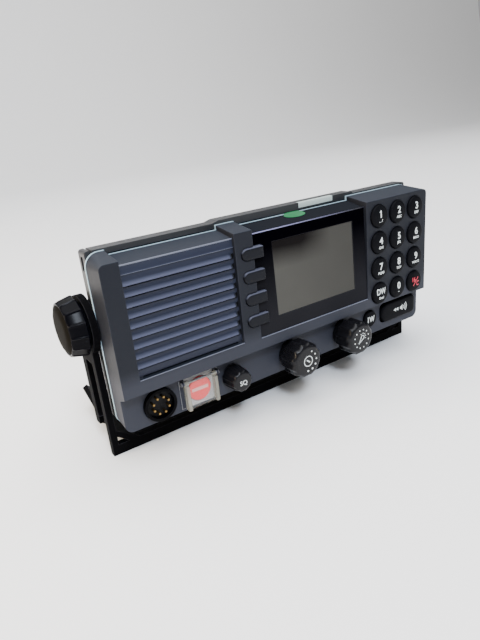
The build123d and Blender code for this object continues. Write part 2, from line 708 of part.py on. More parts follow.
with BuildPart() as replay:
    # Wide key with a round left end, on two stems.
    replay_w = REPLAY_RIGHT - REPLAY_LEFT
    with BuildSketch(front(STRIP_RECESS - KEY_PROUD)):
        with Locations((REPLAY_LEFT + REPLAY_H / 2, STRIP_KEY_Z)):
            Circle(REPLAY_H / 2)
        with Locations(((REPLAY_LEFT + REPLAY_RIGHT + REPLAY_END_R) / 2, STRIP_KEY_Z)):
            RectangleRounded(replay_w - REPLAY_END_R, REPLAY_H, REPLAY_END_R - KEY_GAP)
    extrude(amount=-(KEY_PROUD + KEY_BODY))
    fillet(replay.edges().group_by(Axis.Y)[0], KEY_DOME / 2)
    with BuildSketch(front(STRIP_RECESS + KEY_BODY)):
        with Locations((replay_mid, STRIP_KEY_Z)):
            Rectangle(replay_w - REPLAY_H, KEY_FLANGE_H)
    extrude(amount=-(WALL + SEAM - KEY_BODY))
    with BuildSketch(front(STRIP_WALL_BACK + SEAM)):
        with Locations((replay_mid - KEY_GAP, STRIP_KEY_Z)):
            Rectangle(replay_w + 2 * KEY_GAP, KEY_FLANGE_H)
    extrude(amount=-KEY_FLANGE_T)
    with BuildSketch(front(STRIP_WALL_BACK + SEAM)):
        with Locations((replay_mid, STRIP_KEY_Z)):
            with GridLocations(replay_w / 2, 0, 2, 1):
                Circle(KEY_STEM_R)
    extrude(amount=-(STEM_END_DEPTH - STRIP_WALL_BACK - SEAM))
save(replay.part, "replay_key")

soft_names = ("soft_key_1", "soft_key_2", "soft_key_3", "soft_key_4")
for name, z in zip(soft_names, soft_rows):
    with BuildPart() as soft:
        # Bar with a round left end; the right end is square, over the bezel.
        with BuildSketch(front(-SOFT_KEY_PROUD)):
            with Locations((SOFT_KEY_X, z)):
                SlotOverall(SOFT_KEY_L, SOFT_KEY_H)
            with Locations((SOFT_KEY_X + SOFT_KEY_L / 4, z)):
                Rectangle(SOFT_KEY_L / 2, SOFT_KEY_H)
        extrude(amount=-(SOFT_KEY_PROUD + DISPLAY_TOP_DEPTH))
        chamfer(soft.edges().group_by(Axis.Y)[0], SOFT_KEY_EDGE)
        with BuildSketch(front(DISPLAY_TOP_DEPTH)):
            with Locations((SOFT_KEY_X - SOFT_KEY_L / 4, z)):
                Circle(SOFT_KEY_H / 2 - KEY_GAP)
        extrude(amount=-(STEM_END_DEPTH - DISPLAY_TOP_DEPTH))
    save(soft.part, name)

# ================= Knobs on the lower strip =================
knob_back = STRIP_RECESS - KNOB_GAP
encoder_front = STRIP_WALL_BACK + SEAT
encoder_back = BOARD_DEPTH - SEAT


def control_body(name, x, shaft_r):
    """Case of a turning control behind the strip, with its threaded bush."""
    with BuildPart() as control:
        with BuildSketch(front(encoder_front)) as case:
            with Locations((x, CONTROL_Z)):
                RectangleRounded(ENCODER_SIZE, ENCODER_SIZE, ENCODER_CORNER_R)
        extrude(case.sketch, amount=-(encoder_back - encoder_front))
        with BuildSketch(front(encoder_front)) as bush:
            with Locations((x, CONTROL_Z)):
                Circle(BUSH_R)
        extrude(bush.sketch, amount=encoder_front - STRIP_RECESS)
        with BuildSketch(front(STRIP_RECESS)) as bore:
            with Locations((x, CONTROL_Z)):
                Circle(shaft_r + RUNNING)
        extrude(bore.sketch, amount=-(encoder_back - STRIP_RECESS), mode=Mode.SUBTRACT)
    save(control.part, name)


def shaft(name, x, radius, tip_depth):
    with BuildPart() as rod:
        with BuildSketch(front(tip_depth)) as section:
            with Locations((x, CONTROL_Z)):
                Circle(radius)
        extrude(section.sketch, amount=-(encoder_back - PRESS_TRAVEL - SEAT - tip_depth))
    save(rod.part, name)


def big_knob(name, x):
    """Fluted knob with a narrower skirt that goes back into the strip."""
    grip_back = knob_back - KNOB_SKIRT_L
    with BuildPart() as knob:
        with BuildSketch(front(KNOB_FACE_DEPTH)) as grip:
            with Locations((x, CONTROL_Z)):
                Circle(KNOB_R)
        extrude(grip.sketch, amount=-(grip_back - KNOB_FACE_DEPTH))
        chamfer(knob.edges().group_by(Axis.Y)[0], KNOB_EDGE)
        with BuildSketch(front(KNOB_FACE_DEPTH + KNOB_BAND)) as flutes:
            with Locations((x, CONTROL_Z)):
                with PolarLocations(KNOB_R + KNOB_FLUTE_R - KNOB_FLUTE_CUT, KNOB_FLUTES):
                    Circle(KNOB_FLUTE_R)
        extrude(flutes.sketch, amount=-(knob_back - KNOB_FACE_DEPTH), mode=Mode.SUBTRACT)
        with BuildSketch(front(grip_back)) as skirt:
            with Locations((x, CONTROL_Z)):
                Circle(KNOB_SKIRT_R)
        extrude(skirt.sketch, amount=-KNOB_SKIRT_L)
        with BuildSketch(front(knob_back)) as bore:
            with Locations((x, CONTROL_Z)):
                Circle(SHAFT_R + RUNNING)
        extrude(bore.sketch, amount=knob_back - knob_tip + SEAT, mode=Mode.SUBTRACT)
    save(knob.part, name)


knob_tip = KNOB_FACE_DEPTH + KNOB_CAP
control_body("volume_encoder", VOLUME_X, SHAFT_R)
control_body("channel_encoder", CHANNEL_X, SHAFT_R)
control_body("squelch_control", SQUELCH_X, SQUELCH_SHAFT_R)
shaft("volume_shaft", VOLUME_X, SHAFT_R, knob_tip)
shaft("channel_shaft", CHANNEL_X, SHAFT_R, knob_tip)
big_knob("volume_knob", VOLUME_X)
big_knob("channel_knob", CHANNEL_X)

squelch_tip = SQUELCH_FACE_DEPTH + SQUELCH_CAP
shaft("squelch_shaft", SQUELCH_X, SQUELCH_SHAFT_R, squelch_tip)
with BuildPart() as squelch:
    # Plain tapered knob.
    with BuildSketch(front(SQUELCH_FACE_DEPTH)):
        with Locations((SQUELCH_X, CONTROL_Z)):
            Circle(SQUELCH_R)
    with BuildSketch(front(knob_back)):
        with Locations((SQUELCH_X, CONTROL_Z)):
            Circle(SQUELCH_BASE_R)
    loft()
    chamfer(squelch.edges().group_by(Axis.Y)[0], SQUELCH_EDGE)
    with BuildSketch(front(knob_back)):
        with Locations((SQUELCH_X, CONTROL_Z)):
            Circle(SQUELCH_SHAFT_R)
    extrude(amount=knob_back - squelch_tip, mode=Mode.SUBTRACT)
save(squelch.part, "squelch_knob")

# ================= Handset socket =================
shell_front = STRIP_RECESS - CONNECTOR_PROUD
ledge_depth = STRIP_WALL_BACK - CONNECTOR_LEDGE
insert_front = STRIP_RECESS + SEAM
with BuildPart() as socket:
    with BuildSketch(front(shell_front)):
        with Locations((CONNECTOR_X, CONTROL_Z)):
            Circle(CONNECTOR_R)
            Circle(CONNECTOR_R - CONNECTOR_WALL, mode=Mode.SUBTRACT)
    extrude(amount=-(ledge_depth - shell_front))
    # Key inside the mouth, so that the plug goes in one way round.
    with BuildSketch(front(shell_front)):
        with Locations((CONNECTOR_X, CONTROL_Z + CONNECTOR_R - CONNECTOR_WALL)):
            Rectangle(CONNECTOR_KEY_W, CONNECTOR_KEY_H)
    extrude(amount=-CONNECTOR_PROUD)
save(socket.part, "handset_socket")

pin_spots = [
    (
        CONNECTOR_X + PIN_CIRCLE_R * math.cos(math.tau * (i + 0.5) / PIN_COUNT),
        CONTROL_Z + PIN_CIRCLE_R * math.sin(math.tau * (i + 0.5) / PIN_COUNT),
    )
    for i in range(PIN_COUNT)
]
with BuildPart() as insert:
    # Moulded block: its face lies inside the shell and its barrel goes back to the board.
    with BuildSketch(front(insert_front)):
        with Locations((CONNECTOR_X, CONTROL_Z)):
            Circle(CONNECTOR_R - CONNECTOR_WALL - SEAM)
    extrude(amount=-(ledge_depth - insert_front))
    with BuildSketch(front(ledge_depth)):
        with Locations((CONNECTOR_X, CONTROL_Z)):
            Circle(CONNECTOR_BARREL_R)
    extrude(amount=-(encoder_back - ledge_depth))
    with BuildSketch(front(insert_front)):
        with Locations(*pin_spots):
            Circle(PIN_R)
    extrude(amount=-(encoder_back - insert_front), mode=Mode.SUBTRACT)
save(insert.part, "socket_insert")

with BuildPart() as pins:
    with BuildSketch(front(insert_front - PIN_L)):
        with Locations(*pin_spots):
            Circle(PIN_R)
    extrude(amount=-(encoder_back - insert_front + PIN_L))
save(pins.part, "socket_pins")

# ================= Distress button =================
lid_axis_y = at(LID_DEPTH + LID_THICK / 2)
lid_axis_z = CONTROL_Z + SURROUND_H / 2 - LID_AXIS_DROP
lug_inner = LID_W / 2 + SEAM
with BuildPart() as surround:
    with BuildSketch(front(STRIP_RECESS)):
        with Locations((DISTRESS_X, CONTROL_Z)):
            Rectangle(SURROUND_W, SURROUND_H)
            Circle(BUTTON_R + KEY_GAP, mode=Mode.SUBTRACT)
    extrude(amount=-WALL)
    for sign in (-1, 1):
        lug_x = DISTRESS_X + (lug_inner if sign > 0 else -lug_inner - LUG_W)
        with BuildSketch(side(lug_x)):
            with Locations((lid_axis_y, lid_axis_z)):
                Circle(LID_BARREL_R)
            with Locations(((lid_axis_y + at(STRIP_RECESS)) / 2, lid_axis_z)):
                Rectangle(at(STRIP_RECESS) - lid_axis_y, 2 * LID_BARREL_R)
            with Locations((lid_axis_y, lid_axis_z)):
                Circle(LID_PIN_R, mode=Mode.SUBTRACT)
        extrude(amount=LUG_W)
save(surround.part, "distress_surround")

with BuildPart() as hinge_pin:
    with BuildSketch(side(DISTRESS_X - lug_inner - LUG_W)):
        with Locations((lid_axis_y, lid_axis_z)):
            Circle(LID_PIN_R)
    extrude(amount=2 * (lug_inner + LUG_W))
save(hinge_pin.part, "lid_hinge_pin")

with BuildPart() as lid:
    lid_mid_z = lid_axis_z - LID_H / 2
    with BuildSketch(front(LID_DEPTH)):
        with Locations((DISTRESS_X, lid_mid_z)):
            Rectangle(LID_W, LID_H)
    extrude(amount=-LID_THICK)
    # Two ribs on the front, and skirts down both sides and along the bottom.
    with BuildSketch(front(LID_DEPTH - LID_RIB_OUT)):
        with Locations((DISTRESS_X, lid_mid_z - LID_BARREL_R / 2)):
            with GridLocations(LID_W - LID_RIB_W, 0, 2, 1):
                Rectangle(LID_RIB_W, LID_H - LID_BARREL_R)
    extrude(amount=-LID_RIB_OUT)
    with BuildSketch(front(LID_DEPTH + LID_THICK)):
        with Locations((DISTRESS_X, lid_mid_z - LID_BARREL_R)):
            with GridLocations(LID_W - LID_SKIRT_T, 0, 2, 1):
                Rectangle(LID_SKIRT_T, LID_H - 2 * LID_BARREL_R)
        with Locations((DISTRESS_X, lid_axis_z - LID_H + LID_SKIRT_T / 2)):
            Rectangle(LID_W, LID_SKIRT_T)
    extrude(amount=-(STRIP_RECESS - LID_DEPTH - LID_THICK - KEY_GAP))
    with BuildSketch(side(DISTRESS_X - LID_W / 2)):
        with Locations((lid_axis_y, lid_axis_z)):
            Circle(LID_BARREL_R)
    extrude(amount=LID_W)
    with BuildSketch(side(DISTRESS_X - LID_W / 2)):
        with Locations((lid_axis_y, lid_axis_z)):
            Circle(LID_PIN_R + RUNNING)
    extrude(amount=LID_W, mode=Mode.SUBTRACT)
save(lid.part, "distress_lid")

with BuildPart() as button:
    with BuildSketch(front(STRIP_RECESS - BUTTON_PROUD)):
        with Locations((DISTRESS_X, CONTROL_Z)):
            Circle(BUTTON_R)
    extrude(amount=-(BUTTON_PROUD + KEY_BODY))
    fillet(button.edges().group_by(Axis.Y)[0], BUTTON_PROUD - SEAM)
    with BuildSketch(front(STRIP_RECESS + KEY_BODY)):
        with Locations((DISTRESS_X, CONTROL_Z)):
            Circle(KEY_NECK_R)
    extrude(amount=-(WALL + SEAM - KEY_BODY))
    with BuildSketch(front(STRIP_WALL_BACK + SEAM)):
        with Locations((DISTRESS_X, CONTROL_Z)):
            Rectangle(KEY_FLANGE_W, KEY_FLANGE_H)
    extrude(amount=-KEY_FLANGE_T)
    with BuildSketch(front(STRIP_WALL_BACK + SEAM)):
        with Locations((DISTRESS_X, CONTROL_Z)):
            Circle(KEY_STEM_R)
    extrude(amount=-(STEM_END_DEPTH - STRIP_WALL_BACK - SEAM))
save(button.part, "distress_button")

# ================= Speaker =================
speaker_z = (LOUVRE_BOTTOM_Z - WALL + inner_top) / 2
cloth_front = LOUVRE_SET_BACK + WALL + SEAM
with BuildPart() as cloth:
    with BuildSketch(front(cloth_front)):
        with Locations((louvre_x, speaker_z)):
            RectangleRounded(
                louvre_w - 2 * WALL - 2 * SEAM, inner_top - LOUVRE_BOTTOM_Z + WALL - 2 * SEAM,
                POCKET_R,
            )
    extrude(amount=-CLOTH_T)
save(cloth.part, "grille_cloth")

speaker_front = cloth_front + CLOTH_T + SEAM
magnet_front = speaker_front + SPEAKER_D - MAGNET_T


def speaker_disc(depth, radius):
    """Circle on the speaker's axis, for the next extrusion or loft."""
    with BuildSketch(front(depth)) as disc:
        with Locations((louvre_x, speaker_z)):
            Circle(radius)
    return disc.sketch


with BuildPart() as frame:
    # Dished frame with a flat rim in front and the magnet behind.
    extrude(speaker_disc(speaker_front, SPEAKER_R), amount=-SPEAKER_RIM_T)
    loft(
        [
            speaker_disc(speaker_front + SPEAKER_RIM_T, SPEAKER_R - SPEAKER_RIM_W / 2),
            speaker_disc(magnet_front, MAGNET_R - CONE_T),
        ]
    )
    extrude(speaker_disc(magnet_front, MAGNET_R), amount=-MAGNET_T)
    # The cone's space.
    loft(
        [
            speaker_disc(speaker_front, SPEAKER_R - SPEAKER_RIM_W),
            speaker_disc(magnet_front - SPEAKER_RIM_T, MAGNET_R - SPEAKER_RIM_W),
        ],
        mode=Mode.SUBTRACT,
    )
save(frame.part, "speaker_frame")

with BuildPart() as cone:
    # Paper cone, seated just inside the frame.
    cone_r = SPEAKER_R - SPEAKER_RIM_W - CONE_T
    cone_base_r = MAGNET_R - SPEAKER_RIM_W - CONE_T
    loft(
        [
            speaker_disc(speaker_front + CONE_T / 2, cone_r),
            speaker_disc(magnet_front - SPEAKER_RIM_T - CONE_T / 2, cone_base_r),
        ]
    )
    loft(
        [
            speaker_disc(speaker_front + CONE_T / 2, cone_r - CONE_T),
            speaker_disc(magnet_front - SPEAKER_RIM_T - 1.5 * CONE_T, cone_base_r - CONE_T),
        ],
        mode=Mode.SUBTRACT,
    )
save(cone.part, "speaker_cone")

# ================= Boards =================
board_gap = WALL / 5
board_left = RIB_LEFT + WALL + board_gap
board_right = inner_half - board_gap
board_bottom = inner_bottom + board_gap
board_high = inner_top - board_gap
with BuildPart() as keypad_board:
    with BuildSketch(front(BOARD_DEPTH)):
        with Locations(((board_left + board_right) / 2, (board_bottom + board_high) / 2)):
            Rectangle(board_right - board_left, board_high - board_bottom)
        strip_left = CONNECTOR_X - CONNECTOR_R
        with Locations(((strip_left + board_left) / 2, CONTROL_Z)):
            Rectangle(board_left - strip_left, 2 * (CONTROL_Z - board_bottom))
        with Locations(*screws):
            Circle(SCREW_BOSS_R, mode=Mode.SUBTRACT)
    extrude(amount=-BOARD_T)
save(keypad_board.part, "keypad_board")

# ================= Gasket =================
with BuildPart() as gasket:
    # Follows the outline of the panel's back, with its three raised lengths.
    with BuildSketch(front(PANEL_D)):
        with Locations((0, middle_z)):
            RectangleRounded(
                PANEL_W + 2 * (SIDE_DRAFT + GASKET_PROUD),
                REAR_TOP_Z - PANEL_BOTTOM_Z + 2 * GASKET_PROUD,
                REAR_CORNER_R + GASKET_PROUD,
            )
        for x0, x1 in low_spans:
            with Locations(((x0 + x1) / 2, LOW_REAR_TOP_Z + GASKET_PROUD + LOW_TOP_DROP)):
                Rectangle(x1 - x0 - 2 * GASKET_PROUD, 2 * LOW_TOP_DROP, mode=Mode.SUBTRACT)
        hole_top = LOW_REAR_TOP_Z - GASKET_W
        hole_bottom = PANEL_BOTTOM_Z + GASKET_W
        with Locations((0, (hole_top + hole_bottom) / 2)):
            RectangleRounded(
                2 * (PANEL_HALF - GASKET_W), hole_top - hole_bottom, REAR_CORNER_R,
                mode=Mode.SUBTRACT,
            )
        with Locations(*screws):
            Circle(GASKET_EAR_R)
        with Locations(*screws):
            Circle(SCREW_R + SCREW_GAP, mode=Mode.SUBTRACT)
    extrude(amount=-GASKET_T)
save(gasket.part, "panel_gasket")

# ================= Rear housing =================
flange_back = GASKET_BACK + FLANGE_DEPTH
flange_mid_z = (FLANGE_TOP_Z + FLANGE_BOTTOM_Z) / 2
flange_h = FLANGE_TOP_Z - FLANGE_BOTTOM_Z
body_mid_z = (BODY_TOP_Z + BODY_BOTTOM_Z) / 2
body_h = BODY_TOP_Z - BODY_BOTTOM_Z
boss_face = ARM_INNER - WASHER_T - 2 * SEAM
main_board_w = 2 * (BODY_HALF - BODY_WALL - MAIN_BOARD_INSET)
main_board_d = BODY_REAR_DEPTH - BODY_WALL - MAIN_BOARD_GAP - MAIN_BOARD_FRONT - flange_back
board_mid_y = at(flange_back + MAIN_BOARD_FRONT + main_board_d / 2)
power_plug_w = POWER_W - 2 * POWER_WALL
power_plug_h = POWER_H - 2 * POWER_WALL
accessory_w = ACCESSORY_W - 2 * ACCESSORY_LIP
accessory_h = ACCESSORY_H - 4 * ACCESSORY_SHELL_T
with BuildPart() as housing:
    # Wide shallow flange behind the gasket.
    with BuildSketch(front(GASKET_BACK)):
        with Locations((0, flange_mid_z)):
            RectangleRounded(2 * FLANGE_HALF, flange_h, FLANGE_CORNER_R)
    extrude(amount=-FLANGE_DEPTH)
    # Raised length along the flange's top, with sloping ends.
    with BuildSketch(front(GASKET_BACK)):
        with BuildLine():
            Polyline(
                (TOP_STEP_LEFT - 5 * TOP_STEP, FLANGE_TOP_Z - TOP_STEP),
                (TOP_STEP_LEFT + 3 * TOP_STEP, FLANGE_TOP_Z + TOP_STEP),
                (TOP_STEP_RIGHT - 2 * TOP_STEP, FLANGE_TOP_Z + TOP_STEP),
                (TOP_STEP_RIGHT + TOP_STEP, FLANGE_TOP_Z - TOP_STEP),
                close=True,
            )
        make_face()
    extrude(amount=-FLANGE_DEPTH)
    # Deep body.
    with BuildSketch(front(GASKET_BACK)):
        with Locations((0, body_mid_z)):
            RectangleRounded(2 * BODY_HALF, body_h, BODY_CORNER_R)
    extrude(amount=-(BODY_REAR_DEPTH - GASKET_BACK))
    # Cooling fins on the rear wall.
    with BuildSketch(front(BODY_REAR_DEPTH)):
        with Locations((0, body_mid_z)):
            with GridLocations(FIN_PITCH, 0, FIN_COUNT, 1):
                Rectangle(FIN_THICK, body_h - 2 * FIN_INSET)
    extrude(amount=-FIN_DEPTH)
    # Inside: the flange's tray and the deep cavity.
    with BuildSketch(front(GASKET_BACK)):
        with Locations((0, flange_mid_z)):
            Rectangle(2 * (FLANGE_HALF - FLANGE_WALL), flange_h - 2 * FLANGE_WALL)
    extrude(amount=-(FLANGE_DEPTH - FLANGE_WALL), mode=Mode.SUBTRACT)
    with BuildSketch(front(GASKET_BACK)):
        with Locations((0, body_mid_z)):
            RectangleRounded(
                2 * (BODY_HALF - BODY_WALL), body_h - 2 * BODY_WALL, BODY_CORNER_R / 2
            )
    extrude(amount=-(BODY_REAR_DEPTH - BODY_WALL - GASKET_BACK), mode=Mode.SUBTRACT)
    # Sleeves for the screws, and the standoffs under the main board.
    with BuildSketch(front(GASKET_BACK)):
        with Locations(*screws):
            Circle(SCREW_BOSS_R)
    extrude(amount=-(FLANGE_DEPTH - FLANGE_WALL))
    with BuildSketch(front(GASKET_BACK)):
        with Locations(*screws):
            Circle(SCREW_R + SCREW_GAP)
    extrude(amount=-FLANGE_DEPTH, mode=Mode.SUBTRACT)
    with BuildSketch(Plane.XY.offset(BODY_BOTTOM_Z + BODY_WALL / 2)):
        with Locations((0, board_mid_y)):
            with GridLocations(
                main_board_w - 2 * POST_INSET_X, main_board_d - 2 * POST_INSET_Y, 2, 2
            ):
                Circle(POST_R)
    extrude(amount=MAIN_BOARD_Z - BODY_BOTTOM_Z - BODY_WALL / 2)
    # Pivot bosses and their bores, corner notches and side slots.
    side_slots = [
        (at(GASKET_BACK + SIDE_SLOT_DEPTH), FLANGE_TOP_Z - SIDE_SLOT_TOP_DROP),
        (at(GASKET_BACK + SIDE_SLOT_DEPTH), FLANGE_BOTTOM_Z + SIDE_SLOT_BOTTOM_RISE),
    ]
    for sign in (-1, 1):
        with BuildSketch(side(sign * boss_face)):
            with Locations((pivot_y, PIVOT_Z)):
                Circle(SIDE_BOSS_R)
        extrude(amount=-sign * (boss_face - BODY_HALF + BODY_WALL))
        # Round seat for the washer in the side of the flange.
        with BuildSketch(side(sign * boss_face)):
            with Locations((pivot_y, PIVOT_Z)):
                Circle(SIDE_BOSS_R + SEAT)
        extrude(amount=sign * WASHER_T, mode=Mode.SUBTRACT)
        with BuildSketch(side(sign * boss_face)):
            with Locations((pivot_y, PIVOT_Z)):
                Circle(INSERT_R)
        extrude(amount=-sign * INSERT_L, mode=Mode.SUBTRACT)
        with BuildSketch(side(sign * boss_face)):
            with Locations((pivot_y, PIVOT_Z)):
                Circle(PIVOT_HOLE_R)
        extrude(amount=-sign * (INSERT_L + BODY_WALL), mode=Mode.SUBTRACT)
        with BuildSketch(front(GASKET_BACK)):
            with Locations((sign * (FLANGE_HALF - FLANGE_WALL - FLANGE_NOTCH / 2), FLANGE_TOP_Z)):
                Rectangle(FLANGE_NOTCH, 2 * FLANGE_WALL)
        extrude(amount=-FLANGE_DEPTH, mode=Mode.SUBTRACT)
        with BuildSketch(side(sign * FLANGE_HALF)):
            with Locations(*side_slots):
                Rectangle(SIDE_SLOT_W, SIDE_SLOT_H)
        extrude(amount=-sign * FLANGE_WALL / 2, mode=Mode.SUBTRACT)
    # Cut-outs for the rear connectors.
    with BuildSketch(front(BODY_REAR_DEPTH)):
        with Locations((ANTENNA_X, ANTENNA_Z)):
            Circle(ANTENNA_R + SEAM)
        with Locations((POWER_X, POWER_Z)):
            Rectangle(power_plug_w, power_plug_h)
        with Locations((POWER_X, ACCESSORY_Z)):
            Rectangle(accessory_w, accessory_h)
        with Locations((ANTENNA_X, ACCESSORY_Z)):
            Circle(GROUND_R + SEAM)
    extrude(amount=BODY_WALL, mode=Mode.SUBTRACT)
save(housing.part, "rear_housing")

# ================= Main board =================
with BuildPart() as main_board:
    with BuildSketch(Plane.XY.offset(MAIN_BOARD_Z)):
        with Locations((0, board_mid_y)):
            Rectangle(main_board_w, main_board_d)
    extrude(amount=BOARD_T)
save(main_board.part, "main_board")

board_top = MAIN_BOARD_Z + BOARD_T
with BuildPart() as shield:
    with BuildSketch(Plane.XY.offset(board_top)):
        with Locations((SHIELD_X, board_mid_y)):
            Rectangle(SHIELD_W, main_board_d - 2 * SHIELD_INSET)
    extrude(amount=SHIELD_H)
save(shield.part, "rf_shield")

with BuildPart() as amplifier:
    # Power stage on the board, flat against the finned wall.
    amplifier_back = at(BODY_REAR_DEPTH - BODY_WALL)
    with BuildSketch(Plane.XY.offset(board_top)):
        with Locations((AMPLIFIER_X, amplifier_back - AMPLIFIER_D / 2)):
            Rectangle(AMPLIFIER_W, AMPLIFIER_D)
    extrude(amount=AMPLIFIER_H)
save(amplifier.part, "power_amplifier")

# ================= Rear connectors =================
with BuildPart() as antenna:
    # Square flange, threaded barrel, and a socket tube in the middle of it.
    antenna_tip = BODY_REAR_DEPTH + ANTENNA_FLANGE_T + ANTENNA_L
    with BuildSketch(front(BODY_REAR_DEPTH)):
        with Locations((ANTENNA_X, ANTENNA_Z)):
            RectangleRounded(ANTENNA_FLANGE, ANTENNA_FLANGE, ANTENNA_WALL)
    extrude(amount=-ANTENNA_FLANGE_T)
    with BuildSketch(front(BODY_REAR_DEPTH - BODY_WALL)):
        with Locations((ANTENNA_X, ANTENNA_Z)):
            Circle(ANTENNA_R)
    extrude(amount=-(antenna_tip - BODY_REAR_DEPTH + BODY_WALL))
    with BuildSketch(front(antenna_tip)):
        with Locations((ANTENNA_X, ANTENNA_Z)):
            Circle(ANTENNA_R - ANTENNA_WALL)
            Circle(ANTENNA_SOCKET_R + ANTENNA_SOCKET_WALL, mode=Mode.SUBTRACT)
            Circle(ANTENNA_SOCKET_R)
    extrude(amount=ANTENNA_L - ANTENNA_FLOOR, mode=Mode.SUBTRACT)
save(antenna.part, "antenna_connector")

with BuildPart() as power:
    # Box open to the rear, with two pins.
    with BuildSketch(front(BODY_REAR_DEPTH - BODY_WALL)):
        with Locations((POWER_X, POWER_Z)):
            Rectangle(power_plug_w - 2 * SEAM, power_plug_h - 2 * SEAM)
    extrude(amount=-BODY_WALL)
    with BuildSketch(front(BODY_REAR_DEPTH)):
        with Locations((POWER_X, POWER_Z)):
            Rectangle(POWER_W, POWER_H)
    extrude(amount=-POWER_L)
    with BuildSketch(front(BODY_REAR_DEPTH + POWER_L)):
        with Locations((POWER_X, POWER_Z)):
            Rectangle(power_plug_w, power_plug_h)
            with GridLocations(POWER_PIN_PITCH, 0, 2, 1):
                Circle(POWER_PIN_R, mode=Mode.SUBTRACT)
    extrude(amount=POWER_L - POWER_WALL, mode=Mode.SUBTRACT)
save(power.part, "power_connector")

with BuildPart() as accessory:
    # Flange, metal shell and the contact tongue inside it.
    shell_back = BODY_REAR_DEPTH + ACCESSORY_FLANGE_T
    with BuildSketch(front(BODY_REAR_DEPTH - BODY_WALL)):
        with Locations((POWER_X, ACCESSORY_Z)):
            Rectangle(accessory_w - 2 * SEAM, accessory_h - 2 * SEAM)
    extrude(amount=-BODY_WALL)
    with BuildSketch(front(BODY_REAR_DEPTH)):
        with Locations((POWER_X, ACCESSORY_Z)):
            Rectangle(ACCESSORY_W, ACCESSORY_H)
    extrude(amount=-ACCESSORY_FLANGE_T)
    with BuildSketch(front(shell_back)):
        with Locations((POWER_X, ACCESSORY_Z)):
            Rectangle(accessory_w, accessory_h)
            Rectangle(
                accessory_w - 2 * ACCESSORY_SHELL_T, accessory_h - 2 * ACCESSORY_SHELL_T,
                mode=Mode.SUBTRACT,
            )
    extrude(amount=-ACCESSORY_SHELL_L)
    with BuildSketch(front(shell_back)):
        with Locations((POWER_X, ACCESSORY_Z)):
            Rectangle(accessory_w - 4 * ACCESSORY_SHELL_T, accessory_h / 2)
    extrude(amount=-ACCESSORY_TONGUE_L)
save(accessory.part, "accessory_connector")

with BuildPart() as ground:
    with BuildSketch(front(BODY_REAR_DEPTH - BODY_WALL)):
        with Locations((ANTENNA_X, ACCESSORY_Z)):
            Circle(GROUND_R)
    extrude(amount=-(BODY_WALL + GROUND_L))
    with BuildSketch(front(BODY_REAR_DEPTH)):
        with Locations((ANTENNA_X, ACCESSORY_Z)):
            RegularPolygon(GROUND_NUT_R, 6)
    extrude(amount=-GROUND_NUT_T)
save(ground.part, "ground_stud")

# ================= Fasteners =================
with BuildPart() as screw_set:
    with BuildSketch(front(flange_back)):
        with Locations(*screws):
            Circle(SCREW_HEAD_R)
    extrude(amount=-SCREW_HEAD_T)
    with BuildSketch(front(flange_back)):
        with Locations(*screws):
            Circle(SCREW_R)
    extrude(amount=flange_back - PANEL_D + SCREW_BITE - SCREW_TIP_GAP)
save(screw_set.part, "housing_screws")

# ================= Pivot hardware =================
with BuildPart() as washers:
    for sign in (-1, 1):
        with BuildSketch(side(sign * (boss_face + SEAM))):
            with Locations((pivot_y, PIVOT_Z)):
                Circle(SIDE_BOSS_R - SEAM)
                Circle(PIVOT_HOLE_R, mode=Mode.SUBTRACT)
        extrude(amount=sign * WASHER_T)
save(washers.part, "friction_washers")

with BuildPart() as inserts:
    for sign in (-1, 1):
        with BuildSketch(side(sign * boss_face)):
            with Locations((pivot_y, PIVOT_Z)):
                Circle(INSERT_R)
                Circle(STUD_R + RUNNING, mode=Mode.SUBTRACT)
        extrude(amount=-sign * INSERT_L)
save(inserts.part, "pivot_inserts")

clamp_back = ARM_OUTER - ARM_DISH + SEAM
grip_start = clamp_back + CLAMP_COLLAR_L
grip_end = grip_start + CLAMP_GRIP_L
cap_end = grip_end + CLAMP_CAP_L
dome_r = (CLAMP_CAP_R**2 + CLAMP_DOME**2) / (2 * CLAMP_DOME)
stud_tip = boss_face - INSERT_L - BODY_WALL / 2


def pivot_disc(x, radius):
    """Circle on the pivot's axis, for the next extrusion."""
    with BuildSketch(side(x)) as disc:
        with Locations((pivot_y, PIVOT_Z)):
            Circle(radius)
    return disc.sketch


for sign, name in ((-1, "left"), (1, "right")):
    with BuildPart() as clamp:
        # The round domed cap, then tapering flat facets and the collar.
        extrude(pivot_disc(sign * grip_end, CLAMP_CAP_R), amount=sign * CLAMP_CAP_L)
        with Locations((sign * (cap_end - dome_r), pivot_y, PIVOT_Z)):
            Sphere(dome_r, rotation=(0, 0, 90 + sign * 90), mode=Mode.INTERSECT)
        for x, radius in ((grip_start, CLAMP_R), (grip_end, CLAMP_END_R)):
            with BuildSketch(side(sign * x)):
                with Locations((pivot_y, PIVOT_Z)):
                    RegularPolygon(radius, CLAMP_FACETS)
        loft(ruled=True)
        extrude(pivot_disc(sign * clamp_back, CLAMP_COLLAR_R), amount=sign * CLAMP_COLLAR_L)
        extrude(
            pivot_disc(sign * clamp_back, STUD_R),
            amount=sign * (CLAMP_COLLAR_L + CLAMP_GRIP_L), mode=Mode.SUBTRACT,
        )
    save(clamp.part, f"{name}_clamp_knob")
    with BuildPart() as stud:
        extrude(pivot_disc(sign * stud_tip, STUD_R), amount=sign * (grip_end - stud_tip))
    save(stud.part, f"{name}_clamp_stud")
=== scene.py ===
"""Look of a VHF marine radio on its tilting bracket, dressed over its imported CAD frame.

Everything is in metres in the frame of the CAD model: X to the right, Z up, and the front looks
along -Y. Depths are counted backwards from the raised face of the front panel.
"""

